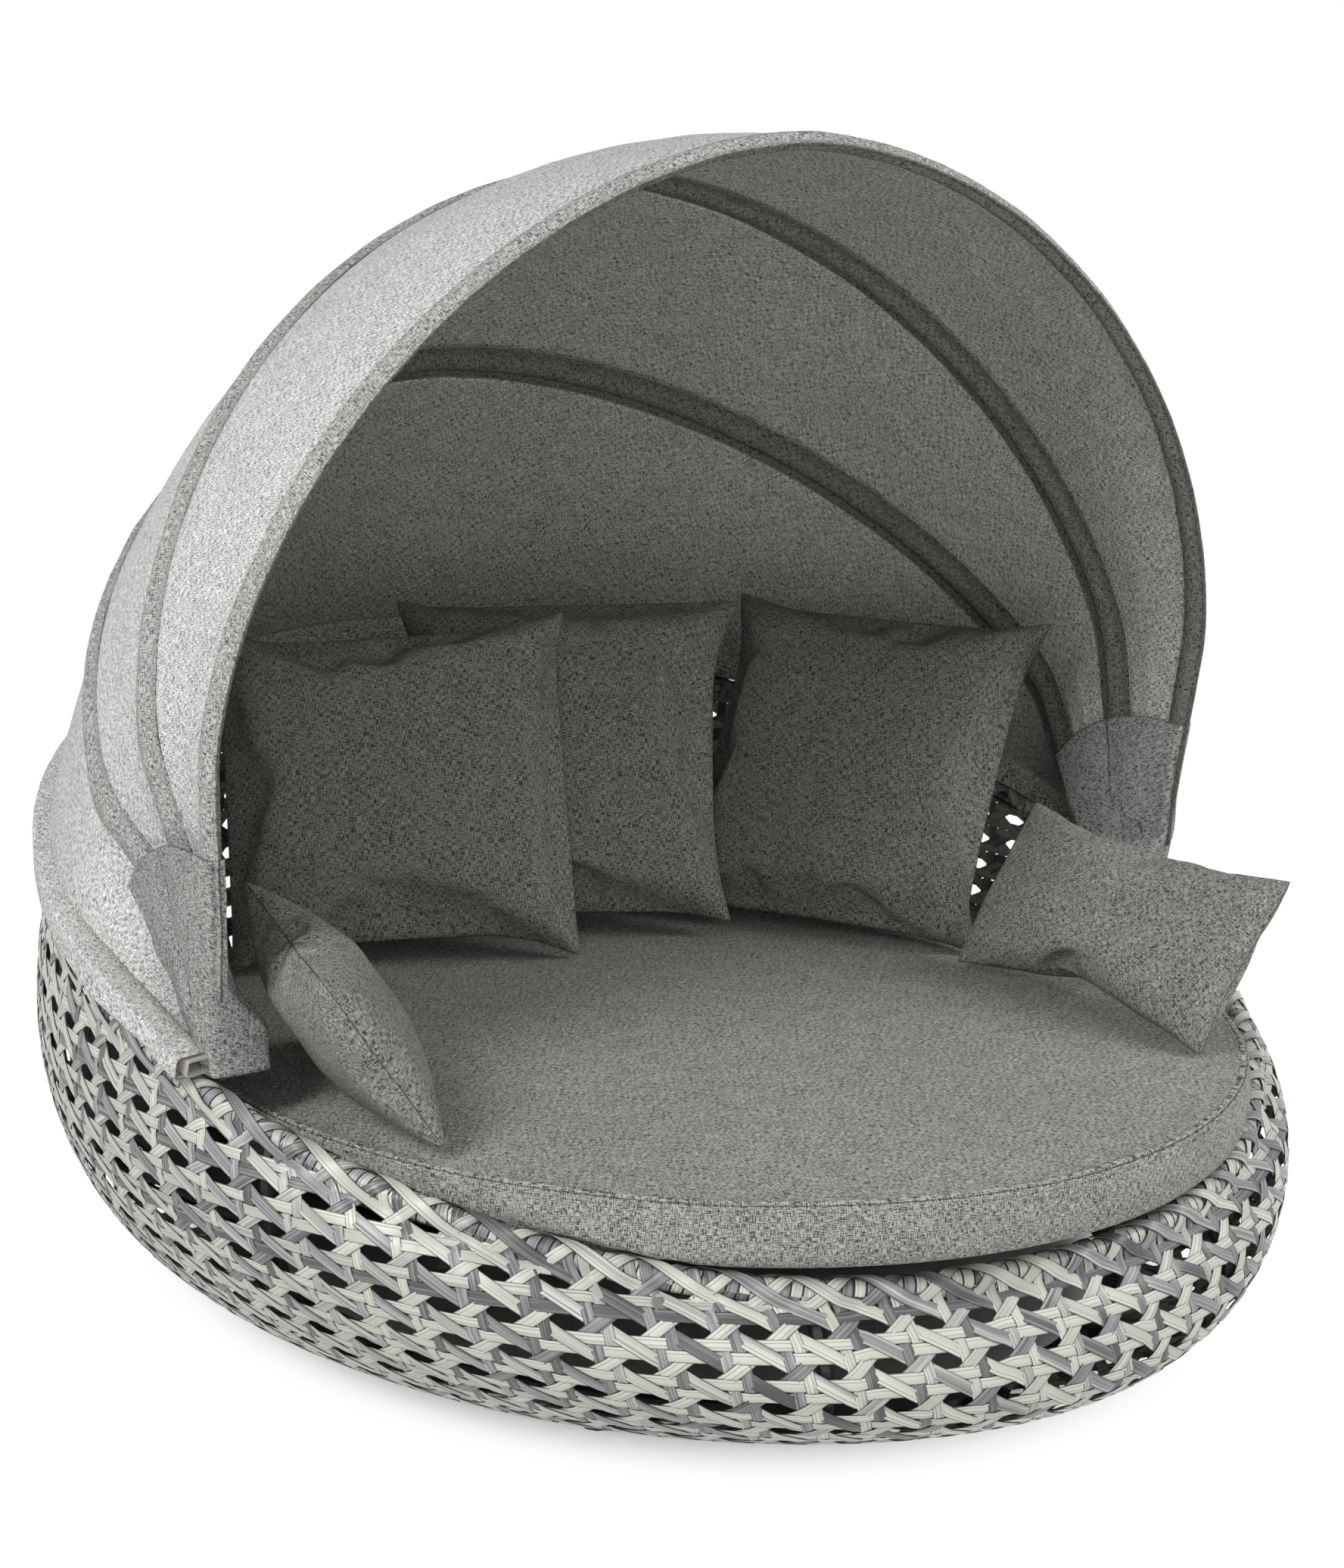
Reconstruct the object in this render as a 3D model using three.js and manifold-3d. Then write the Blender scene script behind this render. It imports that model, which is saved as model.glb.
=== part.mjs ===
// Outdoor daybed: an oval woven basket on a tube frame, a boxed seat cushion, five loose pillows
// and a fabric canopy on three hinged bows and a fixed rear rail.
// Millimetres, +Z up, the front faces -Y. The origin is on the floor under the widest ring's centre.
import * as THREE from "three";
import { mergeVertices } from "three/addons/utils/BufferGeometryUtils.js";
import Module from "manifold-3d";

const wasm = await Module();
wasm.setup();

// Clearances
const gap = 0.3;
const boreGap = 0.5;
const overrun = 20;
const mergeWithin = 1e-4;

// Basket: the widest ring, the weave's lower edge and the rim, as plan ovals
const planPower = 1.95;
const widest = { halfWidth: 916, halfLength: 1040, centreY: 0 };
const insideWidest = ({ width, length, back }) => ({
  halfWidth: widest.halfWidth - width,
  halfLength: widest.halfLength - length,
  centreY: widest.centreY + back,
});
const baseInset = { width: 266, length: 234, back: -24 };
const rimInset = { width: 44, length: 54, back: 20 };
const base = insideWidest(baseInset);
const rim = insideWidest(rimInset);
const widestHeight = { front: 122, side: 352, back: 600 };
const profilePower = 1.82;
const shellThickness = 10;
const rimFrontHeight = 280;
const rimRiseShare = 0.26;
const rimRiseStartY = -900;
const rimRiseSoftness = 30;

// Frame tubes
const baseTubeRadius = 15;
const seatTubeRadius = 12.5;
const rimTubeRadius = 14;
const rimWrapThickness = 8;
const ribRadius = 9;
const ribCount = 8;
const ribInset = 17;
const seatRingInset = 45;
const footCount = 8;
const footRadius = 26;
const footHeight = 16;
const footNeckRadius = 17;
const footRim = 9;
const crossRailCount = 4;
const crossRailPitch = 330;
const crossRailWidth = 40;
const crossRailHeight = 25;
const deckThickness = 6;
const deckInset = 20;

// Seat cushion and pillows
const cushionInset = { width: 161, length: 188, back: -152 };
const cushion = { ...insideWidest(cushionInset), thickness: 90, edgeRound: 14 };
const cushionTop = 388;
const cushionCrown = 24;
const crownPower = 3;
const cushionSideBulge = 5;

// Canopy: the pivots, the rear rail, the three bows and the fabric
const pivotY = -210;
const rail = { width: 40, height: 25, wall: 3, outset: 8, endOver: 22 };
const railLift = { atPivot: 1, standoff: 15, run: 150 };
const bowRadius = 10;
const bowWall = 2;
const bowPitch = 26;
const bowEndOver = 15;
const bowInset = 79;
const bowHalfWidth = widest.halfWidth - bowInset;
const bowHeight = 1197;
const bowLeg = 390;
const bowPower = 1.835;
const splayEnd = 420;
const bowLean = [8, -19.1, -46.6];
const pivotBoltRadius = 5;
const boltHead = { radius: 10, thickness: 6, standoff: 1.5 };
const pivotNut = { radius: 9, thickness: 9 };
const washerRadius = 10;
const railToBow = 6;
const sleeve = { halfBand: 14, wall: 2.2 };
const railSleeve = { wall: 2.4, start: 96 };
const fabric = 3;
const fabricLift = 8;
const fabricSag = 12;
const fabricStart = 150;
const foldDepth = 5;
const foldCount = 3;
const foldReach = 260;
const fabricClear = 1.5;
const boot = { start: 17, rearStart: 62, length: 272, wall: 2 };
const railPost = { radius: 7, count: 5, firstTurn: 28 };

// Steps along the curves and sides of the small round pieces
const archSteps = 16;
const legSteps = { straight: 8, splay: 12 };
const crownSteps = 120;
const curveDivisions = 600;
const panelSteps = 5;
const bootSteps = 2;
const roundSides = 12;
const postSides = 10;
const footSides = 10;
const nutSides = 6;

const degree = Math.PI / 180;
const sleeveReach = bowRadius + gap + sleeve.wall;
const bootSide = sleeve.halfBand + gap;
const up = new THREE.Vector3(0, 0, 1);
const handed = { left: -1, right: 1 };

const colours = {
  weave: new THREE.MeshStandardMaterial({ color: 0xb9bbb2, roughness: 0.6, metalness: 0 }),
  frame: new THREE.MeshStandardMaterial({ color: 0xa8a39e, roughness: 0.45, metalness: 0.4 }),
  plastic: new THREE.MeshStandardMaterial({ color: 0x8f8f8c, roughness: 0.7, metalness: 0 }),
  steel: new THREE.MeshStandardMaterial({ color: 0xb5b7ba, roughness: 0.35, metalness: 0.9 }),
  seat: new THREE.MeshStandardMaterial({ color: 0x7d7f7d, roughness: 0.95, metalness: 0 }),
  pillow: new THREE.MeshStandardMaterial({ color: 0x565856, roughness: 0.95, metalness: 0 }),
  canopy: new THREE.MeshStandardMaterial({ color: 0x9a9c99, roughness: 0.95, metalness: 0 }),
};

const daybed = new THREE.Group();

function addMesh(name, geometry, material, parent = daybed) {
  const mesh = new THREE.Mesh(geometry, material);
  mesh.name = name;
  parent.add(mesh);
  return mesh;
}

// Solids and booleans
function positionsOnly(geometry) {
  const bare = geometry.clone();
  bare.deleteAttribute("normal");
  bare.deleteAttribute("uv");
  return mergeVertices(bare, mergeWithin);
}

function solidOf(geometry) {
  const merged = positionsOnly(geometry);
  return new wasm.Manifold(
    new wasm.Mesh({
      numProp: 3,
      vertProperties: merged.attributes.position.array,
      triVerts: new Uint32Array(merged.index.array),
    }),
  );
}

function geometryOf(solid) {
  const mesh = solid.getMesh();
  const geometry = new THREE.BufferGeometry();
  geometry.setAttribute("position", new THREE.BufferAttribute(mesh.vertProperties, 3));
  geometry.setIndex(new THREE.BufferAttribute(mesh.triVerts, 1));
  geometry.computeVertexNormals();
  return geometry;
}

function cut(geometry, ...tools) {
  let solid = solidOf(geometry);
  for (const tool of tools) solid = solid.subtract(solidOf(tool));
  return geometryOf(solid);
}

// Turns a triangle list so that its faces point out.
function facingOut(points, triangles) {
  let volume = 0;
  for (const [a, b, c] of triangles) {
    volume += points[a].dot(new THREE.Vector3().crossVectors(points[b], points[c]));
  }
  const facing = volume < 0 ? triangles.map(([a, b, c]) => [a, c, b]) : triangles;
  const geometry = new THREE.BufferGeometry().setFromPoints(points);
  geometry.setIndex(facing.flat());
  geometry.computeVertexNormals();
  return geometry;
}

// A closed ring swept through loops of points: every row is one closed section.
function ringGeometry(rows) {
  const across = rows[0].length;
  const triangles = [];
  rows.forEach((row, i) => {
    const next = (i + 1) % rows.length;
    for (let j = 0; j < across; j++) {
      const k = (j + 1) % across;
      const a = i * across + j;
      const b = i * across + k;
      const c = next * across + k;
      const d = next * across + j;
      triangles.push([a, b, c], [a, c, d]);
    }
  });
  return facingOut(rows.flat(), triangles);
}

// A plate between two grids of points, closed round its edges. Its rows may run round in a ring,
// and its open cells are left out, with a wall round each.
function plateGeometry(front, back, ring = false, isOpen = () => false) {
  const rows = front.length;
  const across = front[0].length;
  const offset = rows * across;
  const triangles = [];
  const last = ring ? rows : rows - 1;
  const quad = (a, b, c, d) => triangles.push([a, b, c], [a, c, d]);
  for (let i = 0; i < last; i++) {
    const next = (i + 1) % rows;
    for (let j = 0; j < across - 1; j++) {
      const a = i * across + j;
      const d = next * across + j;
      if (isOpen(i, j)) {
        const corners = [a, a + 1, d + 1, d];
        corners.forEach((p, k) => {
          const q = corners[(k + 1) % corners.length];
          quad(p, q, offset + q, offset + p);
        });
        continue;
      }
      quad(a, a + 1, d + 1, d);
      quad(offset + a, offset + d, offset + d + 1, offset + a + 1);
    }
    const startHere = i * across;
    const startNext = next * across;
    const endHere = startHere + across - 1;
    const endNext = startNext + across - 1;
    quad(startHere, startNext, offset + startNext, offset + startHere);
    quad(endNext, endHere, offset + endHere, offset + endNext);
  }
  if (!ring) {
    const lastRow = (rows - 1) * across;
    for (let j = 0; j < across - 1; j++) {
      quad(j + 1, j, offset + j, offset + j + 1);
      quad(lastRow + j, lastRow + j + 1, offset + lastRow + j + 1, offset + lastRow + j);
    }
  }
  return facingOut([...front.flat(), ...back.flat()], triangles);
}

// An open-ended pipe between two stacks of closed loops.
function pipeGeometry(outer, inner) {
  const rows = outer.length;
  const across = outer[0].length;
  const offset = rows * across;
  const triangles = [];
  const quad = (a, b, c, d) => triangles.push([a, b, c], [a, c, d]);
  for (let j = 0; j < across; j++) {
    const k = (j + 1) % across;
    for (let i = 0; i < rows - 1; i++) {
      const here = i * across;
      const next = here + across;
      quad(here + j, here + k, next + k, next + j);
      quad(offset + here + j, offset + next + j, offset + next + k, offset + here + k);
    }
    const last = (rows - 1) * across;
    quad(k, j, offset + j, offset + k);
    quad(last + j, last + k, offset + last + k, offset + last + j);
  }
  return facingOut([...outer.flat(), ...inner.flat()], triangles);
}

// A turned body whose rows are profiles that run from one pole to the other.
function turnedGeometry(rows, firstPole, lastPole) {
  const across = rows[0].length;
  const points = [...rows.flat(), firstPole, lastPole];
  const first = rows.length * across;
  const triangles = [];
  rows.forEach((row, i) => {
    const here = i * across;
    const next = ((i + 1) % rows.length) * across;
    triangles.push([first, next, here]);
    for (let j = 0; j < across - 1; j++) {
      triangles.push([here + j, next + j, next + j + 1], [here + j, next + j + 1, here + j + 1]);
    }
    triangles.push([first + 1, here + across - 1, next + across - 1]);
  });
  return facingOut(points, triangles);
}

// Plan ovals
function ovalPoint(oval, turn, grow = 0) {
  const c = Math.cos(turn);
  const s = Math.sin(turn);
  const share = 2 / planPower;
  return {
    x: (oval.halfWidth + grow) * Math.sign(c) * Math.abs(c) ** share,
    y: oval.centreY + (oval.halfLength + grow) * Math.sign(s) * Math.abs(s) ** share,
  };
}

const turns = (count) => Array.from({ length: count }, (_, i) => (i / count) * 2 * Math.PI);
const steps = (count) => Array.from({ length: count + 1 }, (_, i) => i / count);
const lerp = THREE.MathUtils.lerp;
const smooth = (value, from, to) => THREE.MathUtils.smoothstep(value, from, to);

// Height of the rim's top over the plan: level at the front, then a steady rise to the back.
function rimTopHeight(y) {
  const along = (y - rimRiseStartY) / rimRiseSoftness;
  return rimFrontHeight + rimRiseShare * rimRiseSoftness * Math.log1p(Math.exp(along));
}

const rimWrapRadius = rimTubeRadius + gap + rimWrapThickness;

function rimCentre(turn) {
  const { x, y } = ovalPoint(rim, turn);
  return new THREE.Vector3(x, y, rimTopHeight(y) - rimWrapRadius);
}

function baseCentre(turn) {
  const { x, y } = ovalPoint(base, turn, -(baseTubeRadius + gap));
  return new THREE.Vector3(x, y, footHeight + gap + baseTubeRadius);
}

// Middle surface of the woven wall, share 0 at the base ring and 1 at the rim's centre line.
function wallPoint(turn, share) {
  const s = Math.sin(turn);
  const front = Math.max(-s, 0) ** 2;
  const back = Math.max(s, 0) ** 2;
  const side = 1 - front - back;
  const { front: frontHeight, side: sideHeight, back: backHeight } = widestHeight;
  const widestZ = front * frontHeight + side * sideHeight + back * backHeight;
  const low = ovalPoint(base, turn);
  const wide = ovalPoint(widest, turn, -shellThickness / 2);
  const high = rimCentre(turn);
  const bottomZ = footHeight + gap + shellThickness / 2;
  const z = lerp(bottomZ, high.z, share);
  if (z < widestZ) {
    const down = (widestZ - z) / (widestZ - bottomZ);
    const reach = (1 - down ** profilePower) ** (1 / profilePower);
    return new THREE.Vector3(lerp(low.x, wide.x, reach), lerp(low.y, wide.y, reach), z);
  }
  const climb = ((z - widestZ) / (high.z - widestZ)) ** 2;
  return new THREE.Vector3(lerp(wide.x, high.x, climb), lerp(wide.y, high.y, climb), z);
}

const probe = 1e-3;

function wallNormal(turn, share) {
  const low = wallPoint(turn, Math.max(share - probe, 0));
  const high = wallPoint(turn, Math.min(share + probe, 1));
  const before = wallPoint(turn - probe, share);
  const after = wallPoint(turn + probe, share);
  return after.sub(before).cross(high.sub(low)).normalize();
}

const wallOffset = (turn, share, by) =>
  wallPoint(turn, share).addScaledVector(wallNormal(turn, share), by);

// The share of the wall's height at which it is at height z.
function wallShare(turn, z) {
  const bottom = wallPoint(turn, 0).z;
  return (z - bottom) / (wallPoint(turn, 1).z - bottom);
}

// Tubes that run round the basket
const sides = (count, radius, phase = 0.5) =>
  Array.from({ length: count }, (_, i) => {
    const angle = ((i + phase) / count) * 2 * Math.PI;
    const reach = radius / Math.cos(Math.PI / count);
    return new THREE.Vector2(reach * Math.cos(angle), reach * Math.sin(angle));
  });

function ringTube(centre, count, section) {
  const rows = turns(count).map((turn) => {
    const along = centre(turn + probe).sub(centre(turn - probe)).normalize();
    const out = new THREE.Vector3().crossVectors(along, up).normalize();
    const rise = new THREE.Vector3().crossVectors(out, along);
    const at = centre(turn);
    return section.map((p) => at.clone().addScaledVector(out, p.x).addScaledVector(rise, p.y));
  });
  return ringGeometry(rows);
}

const wallSegments = 48;
const hemShare = 0.05;
const openShares = [
  [0.12, 0.25],
  [0.33, 0.46],
  [0.54, 0.67],
  [0.75, 0.88],
];
const wallShares = [0, hemShare, ...openShares.flat(), 1];
const ribShares = [openShares[0][0], ...openShares.map(([, topShare]) => topShare), 1];
const tubeSides = 8;
const frameSides = 6;

const deckTop = cushionTop - cushion.thickness - gap;
const frameTop = deckTop - deckThickness - gap;
const seatHeight = frameTop - seatTubeRadius;

function seatCentre(turn) {
  const share = Math.min(wallShare(turn, seatHeight), 1);
  const at = wallPoint(turn, share);
  const normal = wallNormal(turn, share);
  const level = Math.hypot(normal.x, normal.y);
  const reach = seatRingInset / level / level;
  return new THREE.Vector3(at.x - normal.x * reach, at.y - normal.y * reach, seatHeight);
}

function addBaseFrame() {
  const tube = sides(frameSides, baseTubeRadius, 0);
  addMesh("base_ring", baseSweep(tube), colours.frame);
  const profile = [
    new THREE.Vector2(0, 0),
    new THREE.Vector2(footRadius, 0),
    new THREE.Vector2(footRadius, footRim),
    new THREE.Vector2(footNeckRadius, footHeight),
    new THREE.Vector2(0, footHeight),
  ];
  for (let i = 0; i < footCount; i++) {
    const at = baseCentre(-Math.PI / 2 + (i / footCount) * 2 * Math.PI);
    const foot = addMesh(`foot_${i + 1}`, new THREE.LatheGeometry(profile, footSides), colours.plastic);
    foot.rotation.x = Math.PI / 2;
    foot.position.set(at.x, at.y, 0);
  }
}

function addSeatFrame() {
  const seatTube = sides(frameSides, seatTubeRadius, 0);
  const clearTube = sides(frameSides, seatTubeRadius + gap, 0);
  addMesh("seat_ring", ringTube(seatCentre, wallSegments, seatTube), colours.frame);
  const seatClear = ringTube(seatCentre, wallSegments, clearTube);
  const seatPlan = turns(wallSegments).map((turn) => {
    const at = seatCentre(turn);
    return new THREE.Vector2(at.x, at.y);
  });
  const widestReach = Math.max(...seatPlan.map((at) => at.x));
  for (let i = 0; i < crossRailCount; i++) {
    const y = (i - (crossRailCount - 1) / 2) * crossRailPitch;
    const box = new THREE.BoxGeometry(2 * widestReach, crossRailWidth, crossRailHeight);
    box.translate(0, y, seatHeight);
    const inside = new THREE.ExtrudeGeometry(new THREE.Shape(seatPlan), {
      depth: 2 * overrun,
      bevelEnabled: false,
    });
    inside.translate(0, 0, seatHeight - overrun);
    const trimmed = geometryOf(solidOf(box).intersect(solidOf(inside)));
    addMesh(`cross_rail_${i + 1}`, cut(trimmed, seatClear), colours.frame);
  }
  const deckPlan = turns(wallSegments).map((turn) => {
    const at = seatCentre(turn);
    const level = Math.hypot(at.x, at.y);
    const share = (level + seatTubeRadius - deckInset) / level;
    return new THREE.Vector2(at.x * share, at.y * share);
  });
  const deck = new THREE.ExtrudeGeometry(new THREE.Shape(deckPlan), {
    depth: deckThickness,
    bevelEnabled: false,
  });
  deck.translate(0, 0, deckTop - deckThickness);
  addMesh("seat_deck", deck, colours.frame);
}

const rimSweep = (section) => ringTube(rimCentre, wallSegments, section);
const baseSweep = (section) => ringTube(baseCentre, wallSegments, section);

// The wrap is bored for the tube, the rail's posts and the ribs' upper ends.
function addRim() {
  addMesh("rim_tube", rimSweep(sides(frameSides, rimTubeRadius)), colours.frame);
  const bore = rimSweep(sides(frameSides, rimTubeRadius + gap));
  const posts = postTurns().map((turn) => postGeometry(turn, railPost.radius + gap));
  const ribs = ribTurns().map((turn) => ribGeometry(turn, ribRadius + gap));
  const wrap = cut(rimSweep(sides(tubeSides, rimWrapRadius)), bore, ...posts, ...ribs);
  addMesh("rim_wrap", wrap, colours.weave);
}

// The weave's open mesh is a plain grid of openings, every other one across, in staggered rows.
function isOpenCell(column, row) {
  const openRow = openShares.findIndex(([lowShare]) => lowShare === wallShares[row]);
  return openRow >= 0 && (column + openRow) % 2 === 0;
}

function addWovenShell() {
  const half = shellThickness / 2;
  const around = turns(wallSegments);
  const grid = (by) => around.map((turn) => wallShares.map((share) => wallOffset(turn, share, by)));
  const shell = plateGeometry(grid(half), grid(-half), true, isOpenCell);
  const rimClear = rimSweep(sides(tubeSides, rimWrapRadius + gap));
  const baseClear = baseSweep(sides(frameSides, baseTubeRadius + gap, 0));
  addMesh("woven_shell", cut(shell, rimClear, baseClear), colours.weave);
}

const ribTurns = () => turns(ribCount).map((turn) => turn + Math.PI / ribCount);

// A rib's bends lie on rows of the wall's corners, so that it runs along the wall's inside.
function ribGeometry(turn, radius) {
  const low = baseCentre(turn);
  low.z += ribRadius / 2;
  const inside = ribShares.map((share) => wallOffset(turn, share, -ribInset));
  const points = [low, ...inside];
  const stations = points.map((at, i) => {
    const before = points[Math.max(i - 1, 0)];
    const after = points[Math.min(i + 1, points.length - 1)];
    return { at, along: after.clone().sub(before).normalize() };
  });
  return sweptOn(stations, new THREE.Shape(sides(frameSides, radius)));
}

function addRibs() {
  const clearRim = rimSweep(sides(frameSides, rimTubeRadius + gap));
  const clearBase = baseSweep(sides(frameSides, baseTubeRadius + gap, 0));
  const clearTube = sides(frameSides, seatTubeRadius + gap, 0);
  const clearSeat = ringTube(seatCentre, wallSegments, clearTube);
  ribTurns().forEach((turn, i) => {
    const rib = ribGeometry(turn, ribRadius);
    addMesh(`rib_${i + 1}`, cut(rib, clearRim, clearBase, clearSeat), colours.frame);
  });
}

// Rear rail: it follows the rim round the back, from pivot to pivot, a little above it
const railOval = { ...rim, halfWidth: rim.halfWidth + rail.outset };

function railTurnAt(y) {
  const s = Math.min(Math.abs((y - railOval.centreY) / railOval.halfLength), 1);
  return Math.asin(Math.sign(y - railOval.centreY) * s ** (planPower / 2));
}

function railPointAt(turn) {
  const { x, y } = ovalPoint(railOval, turn);
  const share = smooth(y - pivotY, 0, railLift.run);
  const lift = lerp(railLift.atPivot, railLift.standoff, share) + rail.height / 2;
  const aboveCentre = (rimWrapRadius + lift) * Math.hypot(1, rimRiseShare);
  return new THREE.Vector3(x, y, rimTopHeight(y) - rimWrapRadius + aboveCentre);
}

const pivotTurn = railTurnAt(pivotY);
const pivot = railPointAt(pivotTurn);

// A curve through points given by a function, measured by its length.
class PointsCurve extends THREE.Curve {
  constructor(at) {
    super();
    this.at = at;
    this.arcLengthDivisions = curveDivisions;
  }
  getPoint(t, target = new THREE.Vector3()) {
    return target.copy(this.at(t));
  }
}

// Stations along a curve: its ends, places at set lengths from both ends, even steps between.
function stationsOf(curve, offsets, count) {
  const length = curve.getLength();
  const inner = offsets.at(-1);
  const ends = [0, ...offsets.slice(0, -1)];
  const between = steps(count).map((t) => lerp(inner, length - inner, t));
  const places = [...ends, ...between, ...ends.map((s) => length - s).reverse()];
  return places.map((s) => {
    const at = curve.getPointAt(s / length);
    return { at, along: curve.getTangentAt(s / length) };
  });
}

// A path whose even steps fall on the stations, so that pieces on one line share their corners.
class StationCurve extends THREE.Curve {
  constructor(stations) {
    super();
    this.stations = stations;
  }
  stationAt(t) {
    return this.stations[Math.round(t * (this.stations.length - 1))];
  }
  getPointAt(t, target = new THREE.Vector3()) {
    return target.copy(this.stationAt(t).at);
  }
  getTangentAt(t, target = new THREE.Vector3()) {
    return target.copy(this.stationAt(t).along);
  }
}

function sweptOn(stations, shape) {
  const path = { steps: stations.length - 1, extrudePath: new StationCurve(stations) };
  return new THREE.ExtrudeGeometry(shape, path);
}

// The rail's stations from its left end to its right one, a little past both pivots.
const railStations = (() => {
  const first = railTurnAt(pivotY - rail.endOver);
  const curve = new PointsCurve((t) => railPointAt(lerp(Math.PI - first, first, t)));
  const offsets = [railSleeve.start + rail.endOver, fabricStart + rail.endOver];
  return stationsOf(curve, offsets, archSteps);
})();

function rectangle(width, height) {
  const w = width / 2;
  const h = height / 2;
  const corners = [
    [-w, -h],
    [w, -h],
    [w, h],
    [-w, h],
  ];
  return corners.map(([x, y]) => new THREE.Vector2(x, y));
}

function tubeShape(outer, inner) {
  const shape = new THREE.Shape(outer);
  shape.holes.push(new THREE.Path(inner));
  return shape;
}

// The rail's cross sections along its stations, its width level and square to the line.
function railSections(stations, outline) {
  return stations.map(({ at, along }) => {
    const out = new THREE.Vector3().crossVectors(along, up).normalize();
    const rise = new THREE.Vector3().crossVectors(out, along);
    return outline.map((p) => at.clone().addScaledVector(out, p.x).addScaledVector(rise, p.y));
  });
}

function pivotBore(radius) {
  const length = 2 * (pivot.x + rail.width);
  const bore = new THREE.CylinderGeometry(radius, radius, length, roundSides);
  bore.rotateZ(Math.PI / 2);
  bore.translate(0, pivot.y, pivot.z);
  return bore;
}

function addRail() {
  const outer = rectangle(rail.width, rail.height);
  const inner = rectangle(rail.width - 2 * rail.wall, rail.height - 2 * rail.wall);
  const tube = pipeGeometry(
    railSections(railStations, outer),
    railSections(railStations, inner),
  );
  addMesh("canopy_rail", cut(tube, pivotBore(pivotBoltRadius + boreGap)), colours.frame);
  const inside = rectangle(rail.width + 2 * gap, rail.height + 2 * gap);
  const wall = 2 * (gap + railSleeve.wall);
  const outside = rectangle(rail.width + wall, rail.height + wall);
  const posts = postTurns().map((turn) => postGeometry(turn, railPost.radius + gap));
  const covered = railStations.slice(1, -1);
  const cover = pipeGeometry(railSections(covered, outside), railSections(covered, inside));
  addMesh("sleeve_rail", cut(cover, ...posts), colours.canopy);
}

function postTurns() {
  const first = railPost.firstTurn * degree;
  return steps(railPost.count - 1).map((t) => lerp(first, Math.PI - first, t));
}

// A short post that stands on the rim tube and carries the rail.
function postGeometry(turn, radius) {
  const foot = rimCentre(turn);
  const head = railPointAt(turn);
  const lean = head.clone().sub(foot).normalize();
  const from = foot.clone().addScaledVector(lean, rimTubeRadius / 2);
  const to = head.clone().addScaledVector(lean, -rail.height / 4);
  const post = new THREE.CylinderGeometry(radius, radius, from.distanceTo(to), postSides);
  const turnTo = new THREE.Quaternion().setFromUnitVectors(new THREE.Vector3(0, 1, 0), lean);
  post.applyQuaternion(turnTo);
  post.translate(...from.add(to).multiplyScalar(1 / 2));
  return post;
}

function addRailPosts() {
  const clearRim = rimSweep(sides(frameSides, rimTubeRadius + gap));
  const [lowLeft, lowRight, highRight, highLeft] = rectangle(
    rail.width + 2 * gap,
    rail.height + 2 * gap,
  );
  const solidRail = plateGeometry(
    railSections(railStations, [lowLeft, lowRight]),
    railSections(railStations, [highLeft, highRight]),
  );
  postTurns().forEach((turn, i) => {
    const post = cut(postGeometry(turn, railPost.radius), clearRim, solidRail);
    addMesh(`rail_post_${i + 1}`, post, colours.frame);
  });
}

// Bows: each stands in its own plane through the pivots, legs nested side by side
const firstBowX = pivot.x - rail.width / 2 - railToBow - bowRadius;
const bowPivotX = bowLean.map((_, i) => firstBowX - i * bowPitch);

// Half width of a bow's leg at a height: close to the pivot it keeps its own place.
function legX(index, height) {
  const share = THREE.MathUtils.clamp((height - fabricStart) / (splayEnd - fabricStart), 0, 1);
  return lerp(bowPivotX[index], bowHalfWidth, share);
}

// A bow's centre line in its own plane, x across and y up, from its left end to its right one.
function bowOutline(index) {
  const points = [];
  const legHeights = [
    ...steps(legSteps.straight).map((t) => lerp(-bowEndOver, fabricStart, t)),
    ...steps(legSteps.splay).slice(1).map((t) => lerp(fabricStart, bowLeg, t)),
  ];
  for (const height of legHeights) points.push(new THREE.Vector2(-legX(index, height), height));
  const share = 2 / bowPower;
  for (const t of steps(crownSteps)) {
    const angle = t * Math.PI;
    const c = Math.cos(angle);
    const height = bowLeg + (bowHeight - bowLeg) * Math.sin(angle) ** share;
    const shareAcross = Math.sign(c) * Math.abs(c) ** share;
    const halfWidth = legX(index, height);
    if (t > 0 && t < 1) points.push(new THREE.Vector2(-halfWidth * shareAcross, height));
  }
  for (const height of legHeights.toReversed()) {
    points.push(new THREE.Vector2(legX(index, height), height));
  }
  return points;
}

// The bow's stations in its own plane; the first and last ones lie a little below the pivots.
const bowStations = bowLean.map((_, i) => {
  const points = bowOutline(i).map((p) => new THREE.Vector3(p.x, 0, p.y));
  const curve = new THREE.CatmullRomCurve3(points, false, "centripetal");
  curve.arcLengthDivisions = curveDivisions;
  return stationsOf(curve, [fabricStart + bowEndOver], archSteps);
});

function addBows() {
  const boreRadius = pivotBoltRadius + boreGap;
  const boreLength = 2 * (bowHalfWidth + overrun);
  const bore = new THREE.CylinderGeometry(boreRadius, boreRadius, boreLength, roundSides);
  bore.rotateZ(Math.PI / 2);
  const tube = tubeShape(sides(tubeSides, bowRadius), sides(frameSides, bowRadius - bowWall));
  const clearTube = sides(tubeSides, bowRadius + gap);
  const cover = tubeShape(ovalBand(sleeveReach, sleeve.halfBand), clearTube);
  ["front", "middle", "rear"].forEach((name, i) => {
    const bow = new THREE.Group();
    bow.position.set(0, pivot.y, pivot.z);
    bow.rotation.x = bowLean[i] * degree;
    daybed.add(bow);
    const bored = cut(sweptOn(bowStations[i], tube), bore);
    addMesh(`bow_${name}`, bored, colours.frame, bow);
    const skin = sweptOn(bowStations[i].slice(1, -1), cover);
    addMesh(`sleeve_${name}`, skin, colours.canopy, bow);
  });
}

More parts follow.
